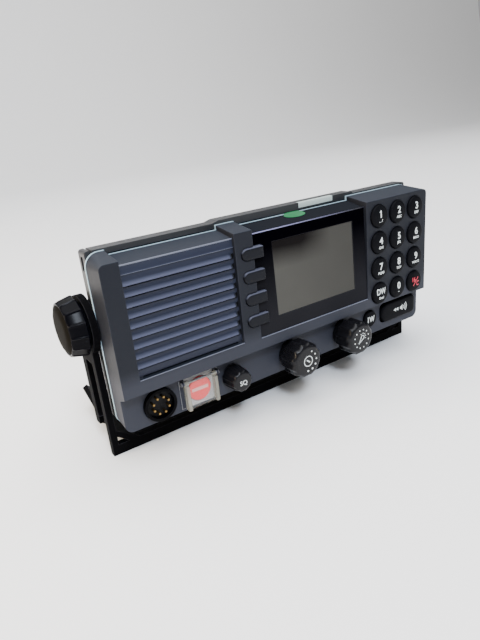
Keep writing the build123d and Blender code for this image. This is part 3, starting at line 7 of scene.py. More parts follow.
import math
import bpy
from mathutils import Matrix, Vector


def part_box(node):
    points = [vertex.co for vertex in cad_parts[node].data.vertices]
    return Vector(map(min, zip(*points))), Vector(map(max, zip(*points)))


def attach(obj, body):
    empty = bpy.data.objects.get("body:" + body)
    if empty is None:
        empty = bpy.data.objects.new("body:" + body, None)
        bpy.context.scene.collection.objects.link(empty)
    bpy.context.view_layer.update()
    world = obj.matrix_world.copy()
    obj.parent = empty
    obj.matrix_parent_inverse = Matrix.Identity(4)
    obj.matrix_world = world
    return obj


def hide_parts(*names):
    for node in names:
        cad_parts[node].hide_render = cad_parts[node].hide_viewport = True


bl_info = {
    "name": "Marine radio dressing",
    "version": (1, 0, 0),
    "blender": (4, 5, 0),
    "location": "3D View > Sidebar > Marine radio",
    "description": "Keys, knobs, louvres, marks and finishes of a marine radio on its bracket",
    "category": "Object",
}

import bmesh
import bpy
import numpy as np

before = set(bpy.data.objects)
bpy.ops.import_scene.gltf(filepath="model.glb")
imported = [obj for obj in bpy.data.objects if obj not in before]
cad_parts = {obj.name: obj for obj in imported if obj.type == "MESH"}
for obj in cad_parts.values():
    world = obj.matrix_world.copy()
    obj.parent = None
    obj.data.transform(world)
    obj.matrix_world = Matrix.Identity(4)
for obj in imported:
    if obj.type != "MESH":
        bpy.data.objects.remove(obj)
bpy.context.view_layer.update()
FACE_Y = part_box("front_panel")[0].y
KEYS = {
    "key_1": ("1", ". , ?"), "key_2": ("2", "ABC"), "key_3": ("3", "DEF"), "key_4": ("4", "GHI"),
    "key_5": ("5", "JKL"), "key_6": ("6", "MNO"), "key_7": ("7", "PQRS"), "key_8": ("8", "TUV"),
    "key_9": ("9", "WXYZ"), "key_watch": ("DW", "Dual"), "key_0": ("0", "_"),
    "key_call": ("16", ""), "low_power_key": ("1W", ""),
}
SOFT_KEYS = ("soft_key_1", "soft_key_2", "soft_key_3", "soft_key_4")
LOW_POWER_RADIUS = 0.0052
KEY_PRINT_LIFT = 0.00006  # from a key's crown to the middle of its print
KNOB_PRINT_LIFT = 0.00004
LOUVRE_LEFT, LOUVRE_RIGHT = -0.0940, -0.03645
LOUVRE_ROOT = 0.00218  # depth of the wall that the noses stand on
PANEL_LIP_Z = 0.0983  # lip over the highest louvre
# Finish of each CAD node, and the nodes that share it.
NODE_FINISHES = {
    "bracket_plastic": "mounting_bracket",
    "panel_plastic": "front_panel",
    "bezel_plastic": "display_bezel",
    "display_window": "display_glass",
    "tin": "display_module speaker_frame rf_shield accessory_connector",
    "insert_plastic": "volume_encoder channel_encoder squelch_control socket_insert "
                      "power_amplifier power_connector",
    "steel": "volume_shaft channel_shaft squelch_shaft housing_screws left_clamp_stud "
             "right_clamp_stud",
    "knob_plastic": "volume_knob channel_knob squelch_knob",
    "shell_black": "handset_socket",
    "gold": "socket_pins",
    "surround_plastic": "distress_surround",
    "dull_steel": "lid_hinge_pin",
    "clear_lid": "distress_lid",
    "red_plastic": "distress_button",
    "grille_cloth": "grille_cloth",
    "cone_paper": "speaker_cone",
    "circuit_board": "keypad_board main_board",
    "gasket_rubber": "panel_gasket",
    "housing_coat": "rear_housing",
    "brass": "antenna_connector ground_stud pivot_inserts",
    "washer_nylon": "friction_washers",
    "clamp_plastic": "left_clamp_knob right_clamp_knob",
    "key_rubber": "replay_key " + " ".join(KEYS),
    "soft_key_rubber": " ".join(SOFT_KEYS),
}
# Area lights: place, size, power and colour.
LIGHTS = {
    "top_light": ((-0.1, 0.1, 2.2), 2.6, 120.0, (0.97, 0.98, 1.0)),
    "key_light": ((-0.265, -0.70, 0.785), 0.20, 10.0, (0.80, 0.88, 1.0)),
    "side_light": ((-0.90, 0.10, 0.30), 0.5, 15.0, (1.0, 0.80, 0.55)),
}
LIGHT_AIM = np.array([0.0, 0.0, 0.06])
WORLD_STRENGTH = 0.35
CAMERA_AT = (-0.1680, -0.2580, 0.1502)
CAMERA_RIGHT = (0.821, -0.562, -0.100)
CAMERA_FORWARD = (0.498, 0.792, -0.353)
CAMERA_LENS = 29.72
SENSOR_WIDTH = 36.0


def centre(node):
    """X and Z of the middle of a node's box."""
    low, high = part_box(node)
    return (low.x + high.x) / 2, (low.z + high.z) / 2


def depth_of(node):
    """Depth of a node's foremost point behind the raised face."""
    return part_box(node)[0].y - FACE_Y


# ---- Sizes and colours ----


def length(name, description, default):
    return bpy.props.FloatProperty(
        name=name, description=description, default=default, unit="LENGTH")


def count(name, description, default):
    return bpy.props.IntProperty(name=name, description=description, default=default)


def paint(name, description, default):
    return bpy.props.FloatVectorProperty(
        name=name, description=description, default=default, subtype="COLOR")


class RadioSizes(bpy.types.PropertyGroup):
    """Sizes of the pieces that are made here."""

    key_radius: length("Key radius", "Radius of a round key", 0.00645)
    key_dome: length("Key dome", "Rise of a key's face over its rim", 0.0011)
    knob_radius: length("Knob radius", "Radius of the volume and channel knobs", 0.0100)
    knob_flutes: count("Knob flutes", "Finger hollows round a knob", 12)
    knob_flute_depth: length("Flute depth", "Depth of a finger hollow", 0.0008)
    clamp_facets: count("Clamp facets", "Flat sides of a clamp knob", 14)
    louvre_count: count("Louvres", "Noses over the loudspeaker", 9)
    louvre_first: length("Lowest louvre", "Height of the lowest nose", 0.0504)
    louvre_pitch: length("Louvre pitch", "From nose to nose", 0.00487)
    mark_rise: length("Mark thickness", "Thickness of printed marks", 0.00006)


class RadioColours(bpy.types.PropertyGroup):
    """Base colours, linear."""

    panel: paint("Front panel", "Blue-grey moulded plastic", (0.0094, 0.0106, 0.0150))
    # Painted light: the same plastic painted paler low down, below the louvres.
    panel_lit_low: paint("Panel where pale", "The same plastic low down", (0.0280, 0.0300, 0.0400))
    # Painted light: the same plastic painted lighter where it looks up.
    panel_top_light: paint(
        "Panel tops", "The same plastic where it looks up", (0.0180, 0.0215, 0.0300))
    # Painted light: the louvre faces are the panel plastic painted a paler lavender, as under cool
    # light.
    louvre: paint("Louvres", "The same plastic where it shows lavender", (0.0170, 0.0200, 0.0345))
    # Painted highlight on the louvre noses.
    nose: paint("Louvre noses", "Painted highlight on the louvre noses", (0.0620, 0.0680, 0.1080))
    # Painted highlight on the lips of the front panel.
    lip: paint("Lips", "Painted highlight on the lips of the front panel", (0.100, 0.110, 0.150))
    bracket: paint("Bracket", "Black moulded plastic", (0.0030, 0.0029, 0.0034))
    rubber: paint("Keys", "Black rubber of the keys", (0.0036, 0.0037, 0.0048))
    gasket: paint("Gasket", "Pale blue-grey gasket", (0.33, 0.45, 0.52))
    marks: paint("Marks", "White print on keys and knobs", (0.72, 0.76, 0.74))
    distress: paint("Distress", "Red of the distress button", (0.80, 0.020, 0.030))


# ---- Materials ----


class Signal:
    """Output socket of a material's node. Arithmetic on it adds Math nodes."""

    def __init__(self, finish, socket):
        self.finish = finish
        self.socket = socket

    def math(self, operation, *values):
        return self.finish.node("ShaderNodeMath", {"operation": operation}, dict(enumerate(values)))

    def __add__(self, other):
        return self.math("ADD", self, other)

    def __sub__(self, other):
        return self.math("SUBTRACT", self, other)

    def __rsub__(self, other):
        return self.math("SUBTRACT", other, self)

    def __mul__(self, other):
        return self.math("MULTIPLY", self, other)

    __radd__ = __add__
    __rmul__ = __mul__


FINISHES = {}


class Finish:
    """A material in the making: its principled shader and the nodes that feed it."""

    def __init__(self, name):
        self.name = name
        self.material = bpy.data.materials.new(f"{name}_look")
        self.material.use_nodes = True
        self.tree = self.material.node_tree
        self.shader = self.tree.nodes["Principled BSDF"]

    def node(self, kind, settings=None, inputs=None, output=0):
        """Adds any node: its settings first, then its sockets."""
        made = self.tree.nodes.new(kind)
        for key, value in (settings or {}).items():
            setattr(made, key, value)
        for key, value in (inputs or {}).items():
            self.feed(made.inputs[key], value)
        return Signal(self, made.outputs[output])

    def feed(self, socket, value):
        if isinstance(value, Signal):
            self.tree.links.new(value.socket, socket)
        else:
            socket.default_value = value

    def place(self):
        """Object coordinates."""
        return self.node("ShaderNodeTexCoord", output="Object")

    def noise(self, size, detail=2.0, rough=0.5):
        """Noise from 0 to 1 whose spots are about size metres across."""
        return self.node("ShaderNodeTexNoise", {}, {
            "Vector": self.place(), "Scale": 1.0 / size, "Detail": detail, "Roughness": rough,
        }, "Fac")

    def blend(self, share, first, second):
        """Mix of two colours."""
        return self.node("ShaderNodeMix", {"data_type": "RGBA"}, {
            "Factor": share, 6: first, 7: second,
        }, 2)

    def rounded(self, radius):
        """Normal with the sharp edges rounded off to a radius."""
        return self.node("ShaderNodeBevel", {"samples": 6}, {"Radius": radius})

    # Mask of the edges that take a painted highlight.
    def edge_highlight(self, rounding):
        """0 on flats, rising to 1 on edges that the rounded normal turns."""
        flat = self.node("ShaderNodeNewGeometry", output="Normal")
        cosine = self.node("ShaderNodeVectorMath", {"operation": "DOT_PRODUCT"},
                           {0: rounding, 1: flat}, "Value")
        return self.node("ShaderNodeMapRange", {}, {
            "Value": 1 - cosine, "From Min": 0.004, "From Max": 0.16, "To Min": 0.0, "To Max": 1.0,
        })

    def along(self, axis, start, end, middle=None):
        """0 at one coordinate and 1 at the other, or at such distances from middle."""
        place = self.node("ShaderNodeSeparateXYZ", {}, {"Vector": self.place()}, axis)
        if middle is not None:
            place = (place - middle).math("ABSOLUTE", place - middle)
        return self.node("ShaderNodeMapRange", {}, {
            "Value": place, "From Min": start, "From Max": end})

    def upward(self):
        """0 on upright faces and 1 on level ones that look up."""
        flat = self.node("ShaderNodeNewGeometry", output="Normal")
        rise = self.node("ShaderNodeSeparateXYZ", {}, {"Vector": flat}, "Z")
        return self.node("ShaderNodeMapRange", {}, {
            "Value": rise, "From Min": 0.25, "From Max": 0.9})

    def bump(self, height, strength, distance, normal=None):
        inputs = {"Height": height, "Strength": strength, "Distance": distance}
        if normal is not None:
            inputs["Normal"] = normal
        return self.node("ShaderNodeBump", {}, inputs)

    def done(self, **sockets):
        for name, value in sockets.items():
            self.feed(self.shader.inputs[name.replace("_", " ")], value)
        FINISHES[self.name] = self.material


def rgb(colour, gain=1.0):
    return (colour[0] * gain, colour[1] * gain, colour[2] * gain, 1.0)


def moulded(name, colour, rough, grain=0.0005, grain_depth=0.00002, edge=0.00045, edge_highlight_gain=1.9,
            gloss=0.25, other=None, fade=None, crown=None):
    """Moulded plastic: satin grain, slow mottling and edges painted paler as a highlight.

    A second colour, other, comes in along fade, an axis with its start and end, and crown is the
    colour painted on faces that look up, as painted light.
    """
    finish = Finish(name)
    rounding = finish.rounded(edge)
    fine = finish.noise(grain, 2.0)
    slow = finish.noise(0.03, 3.0)
    edge_highlight = finish.edge_highlight(rounding)
    tone = finish.blend(slow, rgb(colour, 0.88), rgb(colour, 1.14))
    if other is not None:
        tone = finish.blend(finish.along(*fade), tone, rgb(other))
    # Painted light: faces that look up take the crown colour.
    if crown is not None:
        tone = finish.blend(finish.upward(), tone, rgb(crown))
    # Painted highlight: edges are painted paler, towards the colour times edge_highlight_gain.
    tone = finish.blend(edge_highlight * (0.45 + 0.4 * slow), tone, rgb(colour, edge_highlight_gain))
    finish.done(
        Base_Color=tone,
        Roughness=rough - 0.06 + 0.12 * slow + 0.05 * fine,
        Normal=finish.bump(fine, 0.5, grain_depth, rounding),
        Specular_IOR_Level=gloss,
    )


def metal(name, colour, rough, streak=(1.0, 1.0, 1.0)):
    """Metal with fine drawn streaks."""
    finish = Finish(name)
    stretched = finish.node("ShaderNodeMapping", {}, {"Vector": finish.place(), "Scale": streak})
    lines = finish.node("ShaderNodeTexNoise", {}, {
        "Vector": stretched, "Scale": 3000.0, "Detail": 3.0}, "Fac")
    slow = finish.noise(0.006, 2.0)
    finish.done(
        Base_Color=finish.blend(slow, rgb(colour, 0.82), rgb(colour, 1.08)),
        Metallic=1.0,
        Roughness=rough - 0.08 + 0.16 * lines,
        Normal=finish.bump(lines, 0.25, 0.00001, finish.rounded(0.0002)),
    )


def plain_soft(name, colour, rough, size, depth, gloss=0.25):
    """Rubber, paper or cloth: broken colour over a fine uneven surface."""
    finish = Finish(name)
    fine = finish.noise(size, 3.0, 0.6)
    slow = finish.noise(0.012, 2.0)
    finish.done(
        Base_Color=finish.blend(slow, rgb(colour, 0.85), rgb(colour, 1.15)),
        Roughness=rough - 0.05 + 0.1 * slow + 0.06 * fine,
        Normal=finish.bump(fine, 0.6, depth, finish.rounded(0.0003)),
        Specular_IOR_Level=gloss,
    )


def printed(name, colour):
    """Screen-printed ink, a little uneven."""
    finish = Finish(name)
    ink = finish.noise(0.0012, 3.0)
    finish.done(
        Base_Color=finish.blend(ink, rgb(colour, 0.86), rgb(colour, 1.05)),
        Roughness=0.5,
        Normal=finish.bump(ink, 0.2, 0.00001),
    )


def window_finish():
    """Liquid-crystal window under a clear sheet, with a painted dark reflection at its top left."""
    finish = Finish("display_window")
    low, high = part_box("display_glass")
    across = finish.along("X", low.x, high.x)
    up = finish.along("Z", low.z, high.z)
    haze = finish.noise(0.02, 2.0)
    # Painted reflection: dark at the top left, and painted darker towards the right and the top.
    dark_reflection = finish.along("Z", low.z + 0.0240, high.z - 0.0030) * finish.along(
        "X", high.x - 0.0160, low.x + 0.0180)
    share = (1 - 0.95 * dark_reflection) - 0.30 * across - 0.08 * up + (0.16 * haze - 0.08)
    tone = finish.blend(share, (0.004, 0.003, 0.003, 1.0), (0.062, 0.060, 0.053, 1.0))
    finish.done(
        Base_Color=tone,
        Roughness=0.32 + 0.06 * haze,
        Normal=finish.bump(finish.noise(0.0004, 2.0), 0.15, 0.000005),
        Specular_IOR_Level=0.04,
    )


def clear_finish():
    """Clear moulded lid with cream ribs down its sides.

    The distance from the middle of the lid tells clear sheet from rib.
    """
    finish = Finish("clear_lid")
    low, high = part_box("distress_lid")
    half = (high.x - low.x) / 2
    rib = finish.along("X", half - 0.0021, half - 0.0016, (low.x + high.x) / 2)
    cloud = finish.noise(0.004, 3.0)
    tone = finish.blend(cloud, (0.50, 0.49, 0.45, 1.0), (0.66, 0.64, 0.58, 1.0))
    finish.done(
        Base_Color=finish.blend(rib, tone, (0.30, 0.29, 0.24, 1.0)),
        Alpha=0.05 + 0.04 * cloud + 0.50 * rib,
        Roughness=0.16 + 0.1 * cloud,
        Normal=finish.bump(cloud, 0.2, 0.00002, finish.rounded(0.0004)),
        Specular_IOR_Level=0.12,
    )


def woven_finish():
    """Black grille cloth: two crossed waves make the weave."""
    finish = Finish("grille_cloth")
    waves = [
        finish.node("ShaderNodeTexWave", {"bands_direction": way}, {
            "Vector": finish.place(), "Scale": 400.0}, "Fac")
        for way in ("X", "Z")
    ]
    weave = waves[0] * waves[1]
    finish.done(
        Base_Color=finish.blend(weave, (0.004, 0.004, 0.004, 1.0), (0.02, 0.02, 0.022, 1.0)),
        Roughness=0.9,
        Normal=finish.bump(weave, 0.8, 0.0001),
    )


def board_finish():
    """Solder mask with paler tracks."""
    finish = Finish("circuit_board")
    cells = finish.node("ShaderNodeTexVoronoi", {"feature": "DISTANCE_TO_EDGE"}, {
        "Vector": finish.place(), "Scale": 260.0}, "Distance")
    track = finish.node("ShaderNodeMapRange", {}, {
        "Value": cells, "From Min": 0.03, "From Max": 0.06})
    finish.done(
        Base_Color=finish.blend(track, (0.03, 0.16, 0.07, 1.0), (0.01, 0.08, 0.035, 1.0)),
        Roughness=0.4,
        Normal=finish.bump(1 - track, 0.3, 0.00003),
    )


def finishes():
    """Every material, by name. They are made once and then looked up."""
    if "panel_plastic" in FINISHES:
        return FINISHES
    colours = bpy.context.scene.radio_colours
    # Painted light: the panel is painted paler low down, and its faces that look up take a painted
    # lighter crown.
    moulded("panel_plastic", colours.panel, 0.46, edge=0.0006, edge_highlight_gain=3.2, gloss=0.12,
            other=colours.panel_lit_low, fade=("Z", 0.051, 0.043),
            crown=colours.panel_top_light)
    # Louvres in painted lavender light, fading to a painted highlight towards the front of each
    # nose.
    moulded("louvre_plastic", colours.louvre, 0.42, edge_highlight_gain=1.5, gloss=0.17,
            other=colours.nose, fade=("Y", FACE_Y + 0.00195, FACE_Y + 0.00080))
    # Painted highlight on the lips.
    moulded("lip_highlight", colours.lip, 0.30, edge=0.0002, edge_highlight_gain=1.3, gloss=0.5)
    # Painted highlight on the bezel's top lip, bright at the left and fading to dark at the right.
    moulded("bezel_edge_highlight", (0.20, 0.20, 0.36), 0.30, edge=0.0002, edge_highlight_gain=1.3, gloss=0.4,
            other=(0.010, 0.010, 0.014), fade=("X", -0.020, 0.045))
    # Painted highlight: the black bracket's edges are painted many times paler.
    moulded("bracket_plastic", colours.bracket, 0.50, edge_highlight_gain=16.0, edge=0.0004, gloss=0.008)
    # Painted shade: the bezel is painted darker towards the top, and faces that look up take a
    # painted grey.
    moulded("bezel_plastic", (0.0140, 0.0138, 0.0160), 0.12, grain_depth=0.000004, edge=0.0004,
            edge_highlight_gain=3.0, gloss=0.0, other=(0.0006, 0.0005, 0.0012), fade=("Z", 0.055, 0.090),
            crown=(0.0110, 0.0120, 0.0150))
    moulded("knob_plastic", (0.0040, 0.0040, 0.0052), 0.26, edge_highlight_gain=2.2, edge=0.0004, gloss=0.18)
    # Painted highlight: the clamp knobs' corner ridges are painted paler.
    moulded("clamp_plastic", (0.0018, 0.0018, 0.0028), 0.18, grain_depth=0.000004, edge_highlight_gain=12.0,
            edge=0.0003, gloss=0.035)
    # Painted reflection: the end caps are a warmer, paler copy of the clamp plastic.
    moulded("clamp_cap_reflection", (0.0050, 0.0044, 0.0034), 0.46, edge_highlight_gain=1.4, edge=0.0003, gloss=0.005)
    moulded("housing_coat", (0.0120, 0.0128, 0.0155), 0.42, grain=0.0008, grain_depth=0.00006,
            gloss=0.5)
    moulded("insert_plastic", (0.003, 0.003, 0.0035), 0.5, gloss=0.1)
    # Painted highlight: the socket shell's edges are painted paler.
    moulded("shell_black", (0.0010, 0.0010, 0.0014), 0.30, edge_highlight_gain=9.0, gloss=0.03)
    lid_low, lid_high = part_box("distress_lid")
    # The surround's edge blends into the panel's painted-paler low colour.
    moulded("surround_plastic", (0.34, 0.34, 0.345), 0.42, gloss=0.1, other=colours.panel_lit_low,
            fade=("X", 0.0080, 0.0084, (lid_low.x + lid_high.x) / 2))
    moulded("red_plastic", colours.distress, 0.35, edge_highlight_gain=1.1, gloss=0.3)
    moulded("red_band", (0.74, 0.36, 0.33), 0.45, edge_highlight_gain=1.1)
    plain_soft("key_rubber", colours.rubber, 0.40, 0.0003, 0.00001, gloss=0.03)
    # Painted highlight: faces of the soft keys that look up take a pale crown.
    moulded("soft_key_rubber", (0.0050, 0.0055, 0.0080), 0.38, gloss=0.10, edge=0.0002,
            crown=(0.085, 0.090, 0.125))
    plain_soft("gasket_rubber", colours.gasket, 0.5, 0.0006, 0.00003)
    plain_soft("cone_paper", (0.03, 0.03, 0.03), 0.85, 0.0004, 0.00004)
    plain_soft("washer_nylon", (0.012, 0.012, 0.012), 0.5, 0.0005, 0.00001)
    metal("steel", (0.55, 0.55, 0.56), 0.34, (1.0, 0.05, 1.0))
    metal("dull_steel", (0.13, 0.13, 0.135), 0.5, (0.05, 1.0, 1.0))
    metal("brass", (0.72, 0.52, 0.24), 0.30, (1.0, 0.05, 1.0))
    metal("gold", (0.22, 0.14, 0.05), 0.42)
    metal("tin", (0.62, 0.62, 0.60), 0.42)
    printed("white_print", colours.marks)
    printed("red_print", (0.60, 0.03, 0.06))
    printed("green_sticker", (0.0, 0.125, 0.036))
    printed("label_paper", (0.40, 0.47, 0.45))
    window_finish()
    clear_finish()
    woven_finish()
    board_finish()
    return FINISHES


# ---- Surfaces ----


def linked(name, data):
    """New object of the scene."""
    made = bpy.data.objects.new(name, data)
    bpy.context.scene.collection.objects.link(made)
    return made


def grid_piece(name, points, material, around=False, closed_ends=False, sharp=35.0):
    """Mesh of a (rows, columns, 3) array of points.

    Each cell of the grid is one four-sided face. around joins the last column to the first, and
    closed_ends fans each end row to its mean point.
    """
    rows, columns, _ = points.shape
    index = np.arange(rows * columns).reshape(rows, columns)
    across = np.concatenate([index, index[:, :1]], axis=1) if around else index
    quads = np.stack(
        [across[:-1, :-1], across[:-1, 1:], across[1:, 1:], across[1:, :-1]], axis=-1
    ).reshape(-1, 4)
    vertices = points.reshape(-1, 3)
    faces = quads.tolist()
    if closed_ends:
        first = rows * columns
        vertices = np.concatenate([vertices, [points[0].mean(0)], [points[-1].mean(0)]])
        ring = across[0]
        faces += np.stack([ring[1:], ring[:-1], np.full(len(ring) - 1, first)], -1).tolist()
        ring = across[-1]
        faces += np.stack([ring[:-1], ring[1:], np.full(len(ring) - 1, first + 1)], -1).tolist()
    mesh = bpy.data.meshes.new(name)
    mesh.from_pydata(vertices.tolist(), [], faces)
    mesh.materials.append(finishes()[material])
    mesh.polygons.foreach_set("use_smooth", np.ones(len(mesh.polygons), bool))
    mesh.set_sharp_from_angle(angle=math.radians(sharp))
    mesh.update()
    return linked(name, mesh)


def turned(x, z, profile, segments, shape=None):
    """Points of a surface turned about a line along Y through (x, z).

    Row i is a circle of radius profile[i][0] at depth profile[i][1]. shape(angle) times
    profile[i][2] is taken off the radius, which makes flutes or facets.
    """
    profile = np.asarray(profile, float)
    angle = np.linspace(0.0, 2 * np.pi, segments, endpoint=False)
    radius = np.repeat(profile[:, :1], segments, axis=1)
    if shape is not None:
        radius = radius - profile[:, 2:3] * shape(angle)[None, :]
    return np.stack([
        x + radius * np.cos(angle),
        FACE_Y + np.repeat(profile[:, 1:2], segments, axis=1),
        z + radius * np.sin(angle),
    ], axis=-1)


def rounded_corner(radius_out, depth_out, radius_in, depth_in, steps=7):
    """Quarter ellipse from (radius_out, depth_out) to (radius_in, depth_in), as profile rows."""
    turn = np.linspace(0.0, np.pi / 2, steps)
    return np.stack([
        radius_in + (radius_out - radius_in) * np.cos(turn),
        depth_out + (depth_in - depth_out) * np.sin(turn),
    ], axis=-1)


def outline(width, height, left_radius, right_radius, inset=0.0, steps=9):
    """Rounded rectangle about the origin, counter-clockwise, with its own radius at each side.

    Every corner is a quarter circle of steps points, so all insets have the same count.
    """
    half_w, half_h = width / 2 - inset, height / 2 - inset
    turn = np.linspace(0.0, np.pi / 2, steps)
    corners = []
    for x_sign, z_sign, radius, start in (
        (1, 1, right_radius, 0.0), (-1, 1, left_radius, np.pi / 2),
        (-1, -1, left_radius, np.pi), (1, -1, right_radius, 1.5 * np.pi),
    ):
        r = max(radius - inset, 0.00004)
        corners.append(np.stack([
            x_sign * (half_w - r) + r * np.cos(start + turn),
            z_sign * (half_h - r) + r * np.sin(start + turn),
        ], axis=-1))
    return np.concatenate(corners)


def pillow(x, z, width, height, left_radius, right_radius, profile):
    """Points of a raised block.

    Row i is the outline inset by profile[i][0] at depth profile[i][1].
    """
    rows = [
        np.stack([
            x + ring[:, 0],
            np.full(len(ring), FACE_Y + depth),
            z + ring[:, 1],
        ], axis=-1)
        for ring, depth in (
            (outline(width, height, left_radius, right_radius, inset), depth)
            for inset, depth in profile
        )
    ]
    return np.stack(rows)


def bar(name, left, right, section, material):
    """Section of (depth, height) rows, from the top round the front, carried from left to right."""
    section = np.asarray(section, float)
    along = np.array([left, right])
    points = np.stack([
        np.repeat(along[:, None], len(section), axis=1),
        FACE_Y + np.repeat(section[None, :, 0], 2, axis=0),
        np.repeat(section[None, :, 1], 2, axis=0),
    ], axis=-1)
    return grid_piece(name, points, material, True, True, 50.0)


def rod_section(depth, height, radius, steps=12):
    """Circle of a thin bead along an edge."""
    turn = np.linspace(np.pi, -np.pi, steps, endpoint=False)
    return np.stack([depth - radius * np.cos(turn), height + radius * np.sin(turn)], axis=-1)


def dress(piece, slot, body, *nodes):
    """Seats a finished piece on its body, in place of the CAD nodes that it stands for."""
    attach(piece, body)
    if nodes:
        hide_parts(*nodes)
    return piece


def lettering(name, words, x, z, depth, height, body, material="white_print", bold=0.0,
              stretch=1.0, face=None, half_turn=False):
    """Flat letters that face the front, centred on (x, z).

    face(x, z) is the extra depth of a domed surface under each point.
    """
    curve = bpy.data.curves.new(name, "FONT")
    curve.body = words
    curve.size = height / 0.72
    curve.offset = bold
    curve.align_x = "CENTER"
    curve.align_y = "CENTER"
    curve.extrude = bpy.context.scene.radio_sizes.mark_rise / 2
    text = linked(name, curve)
    bpy.context.view_layer.update()
    mesh = bpy.data.meshes.new_from_object(text)
    bpy.data.objects.remove(text)
    if face is not None:
        # Short edges, so that the letters bend with the surface under them.
        fine = bmesh.new()
        fine.from_mesh(mesh)
        for _ in range(3):
            bmesh.ops.triangulate(fine, faces=fine.faces)
            long_edges = [edge for edge in fine.edges if edge.calc_length() > height / 6]
            bmesh.ops.subdivide_edges(fine, edges=long_edges, cuts=1)
        bmesh.ops.triangulate(fine, faces=fine.faces)
        fine.to_mesh(mesh)
        fine.free()
    flat = np.empty(len(mesh.vertices) * 3)
    mesh.vertices.foreach_get("co", flat)
    flat = flat.reshape(-1, 3)
    flat -= (flat.min(0) + flat.max(0)) / 2
    if half_turn:
        flat[:, :2] *= -1.0
    across, upwards = x + flat[:, 0] * stretch, z + flat[:, 1]
    under = 0.0 if face is None else face(across, upwards)
    placed = np.stack([across, FACE_Y + depth - flat[:, 2] + under, upwards], axis=-1)
    mesh.vertices.foreach_set("co", placed.ravel())
    mesh.materials.clear()
    mesh.materials.append(finishes()[material])
    mesh.update()
    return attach(linked(name, mesh), body)


def plates(name, outlines, depth, body, material="white_print"):
    """Thin printed shapes that face the front: each outline is an (n, 2) array of x and z."""
    rise = bpy.context.scene.radio_sizes.mark_rise
    vertices, faces, start = [], [], 0
    for ring in outlines:
        ring = np.asarray(ring, float)
        count = len(ring)
        for layer in (rise / 2, -rise / 2):
            vertices.append(np.stack([
                ring[:, 0], np.full(count, FACE_Y + depth + layer), ring[:, 1]], axis=-1))
        back, front = start + np.arange(count), start + count + np.arange(count)
        faces.append(back[::-1].tolist())
        faces.append(front.tolist())
        faces += np.stack([
            back, np.roll(back, -1), np.roll(front, -1), front], -1).tolist()
        start += 2 * count
    mesh = bpy.data.meshes.new(name)
    mesh.from_pydata(np.concatenate(vertices).tolist(), [], faces)
    mesh.materials.append(finishes()[material])
    mesh.update()
    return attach(linked(name, mesh), body)


def on_circle(x, z, radius, angle):
    """Points at one angle or several on a circle that faces the front."""
    return np.stack([x + radius * np.cos(angle), z + radius * np.sin(angle)], axis=-1)


def disc(x, z, radius, steps=20):
    return on_circle(x, z, radius, np.linspace(0.0, 2 * np.pi, steps, endpoint=False))


def arc_band(x, z, radius, width, start=0.0, end=2 * np.pi, steps=40):
    """Outlines of a ring or part of one, as four-sided bits between two radii."""
    angle = np.linspace(start, end, steps)
    inner, outer = radius - width / 2, radius + width / 2
    one, two = angle[:-1], angle[1:]
    corners = [
        on_circle(x, z, r, a)
        for r, a in ((inner, one), (outer, one), (outer, two), (inner, two))
    ]
    return list(np.stack(corners, axis=1))


def stroke(x0, z0, x1, z1, width):
    """Outline of a straight stroke."""
    along = np.array([x1 - x0, z1 - z0])
    across = np.array([-along[1], along[0]]) / np.linalg.norm(along) * width / 2
    first, last = np.array([x0, z0]), np.array([x1, z1])
    return np.array([first - across, last - across, last + across, first + across])


# ---- Pieces ----


class RADIO_OT_finishes(bpy.types.Operator):
    """Gives every CAD node its material"""

    bl_idname = "radio.finishes"
    bl_label = "Finishes"

    def execute(self, context):
        by_node = {
            node: finish for finish, nodes in NODE_FINISHES.items() for node in nodes.split()}
        for name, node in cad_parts.items():
            node.data.materials.clear()
            node.data.materials.append(finishes()[by_node[name]])
        return {"FINISHED"}


class RADIO_OT_keys(bpy.types.Operator):
    """Domed round keys with their numerals and letters"""

    bl_idname = "radio.keys"
    bl_label = "Keys"

    def execute(self, context):
        sizes = context.scene.radio_sizes
        for name, (mark, small) in KEYS.items():
            x, z = centre(name)
            front = depth_of(name)
            radius = LOW_POWER_RADIUS if name == "low_power_key" else sizes.key_radius
            dome = sizes.key_dome * radius / sizes.key_radius

            def bowl(share):
                """Depth behind the crown: it grows with the distance from the middle squared."""
                return dome * 0.62 * share**2

            share = np.linspace(0.02, 0.84, 9)
            face = np.stack([radius * share, front + bowl(share)], -1)
            edge = rounded_corner(radius, front + dome + 0.0004, face[-1, 0], face[-1, 1])[::-1]
            wall = [(radius, front + 0.0033), (radius * 0.6, front + 0.0034)]
            points = turned(x, z, np.concatenate([face, edge[1:], wall]), 64)
            dress(grid_piece(f"{name}_cap", points, "key_rubber", True, True, 60.0),
                  "key_rubber", name, name)

            def on_face(across, upwards):
                return bowl(np.hypot(across - x, upwards - z) / radius)

            rise = front - KEY_PRINT_LIFT
            if name == "key_call":
                lettering("key_call_mark", mark, x - 0.0013, z + 0.0013, rise, 0.0029, name,
                          "red_print", 0.0001, 0.8, on_face)
                lettering("key_call_letter", "C", x + 0.0021, z - 0.0016, rise, 0.0031, name,
                          "red_print", 0.0001, 0.8, on_face)
                slash = stroke(x - 0.0019, z - 0.0026, x + 0.0023, z + 0.0024, 0.0005)
                plates("key_call_slash", [slash], rise, name, "red_print")
            elif len(mark) == 1:
                # A six is a nine turned round.
                six = mark == "6"
                lettering(f"{name}_mark", "9" if six else mark, x, z + 0.0013, rise, 0.0040, name,
                          bold=0.00013, stretch=0.95, face=on_face, half_turn=six)
                if mark == "1":
                    flag = stroke(x - 0.0010, z + 0.0023, x, z + 0.0031, 0.00055)
                    plates("key_1_flag", [flag], rise + on_face(x - 0.0005, z + 0.0028) - 0.00003,
                           name)
            else:
                lettering(f"{name}_mark", mark, x, z + (0.0013 if small else 0.0), rise, 0.0036,
                          name, bold=0.00010, stretch=0.82, face=on_face)
            if small:
                lettering(f"{name}_letters", small, x, z - 0.0027, rise, 0.0015, name,
                          bold=0.00005, face=on_face)
        return {"FINISHED"}


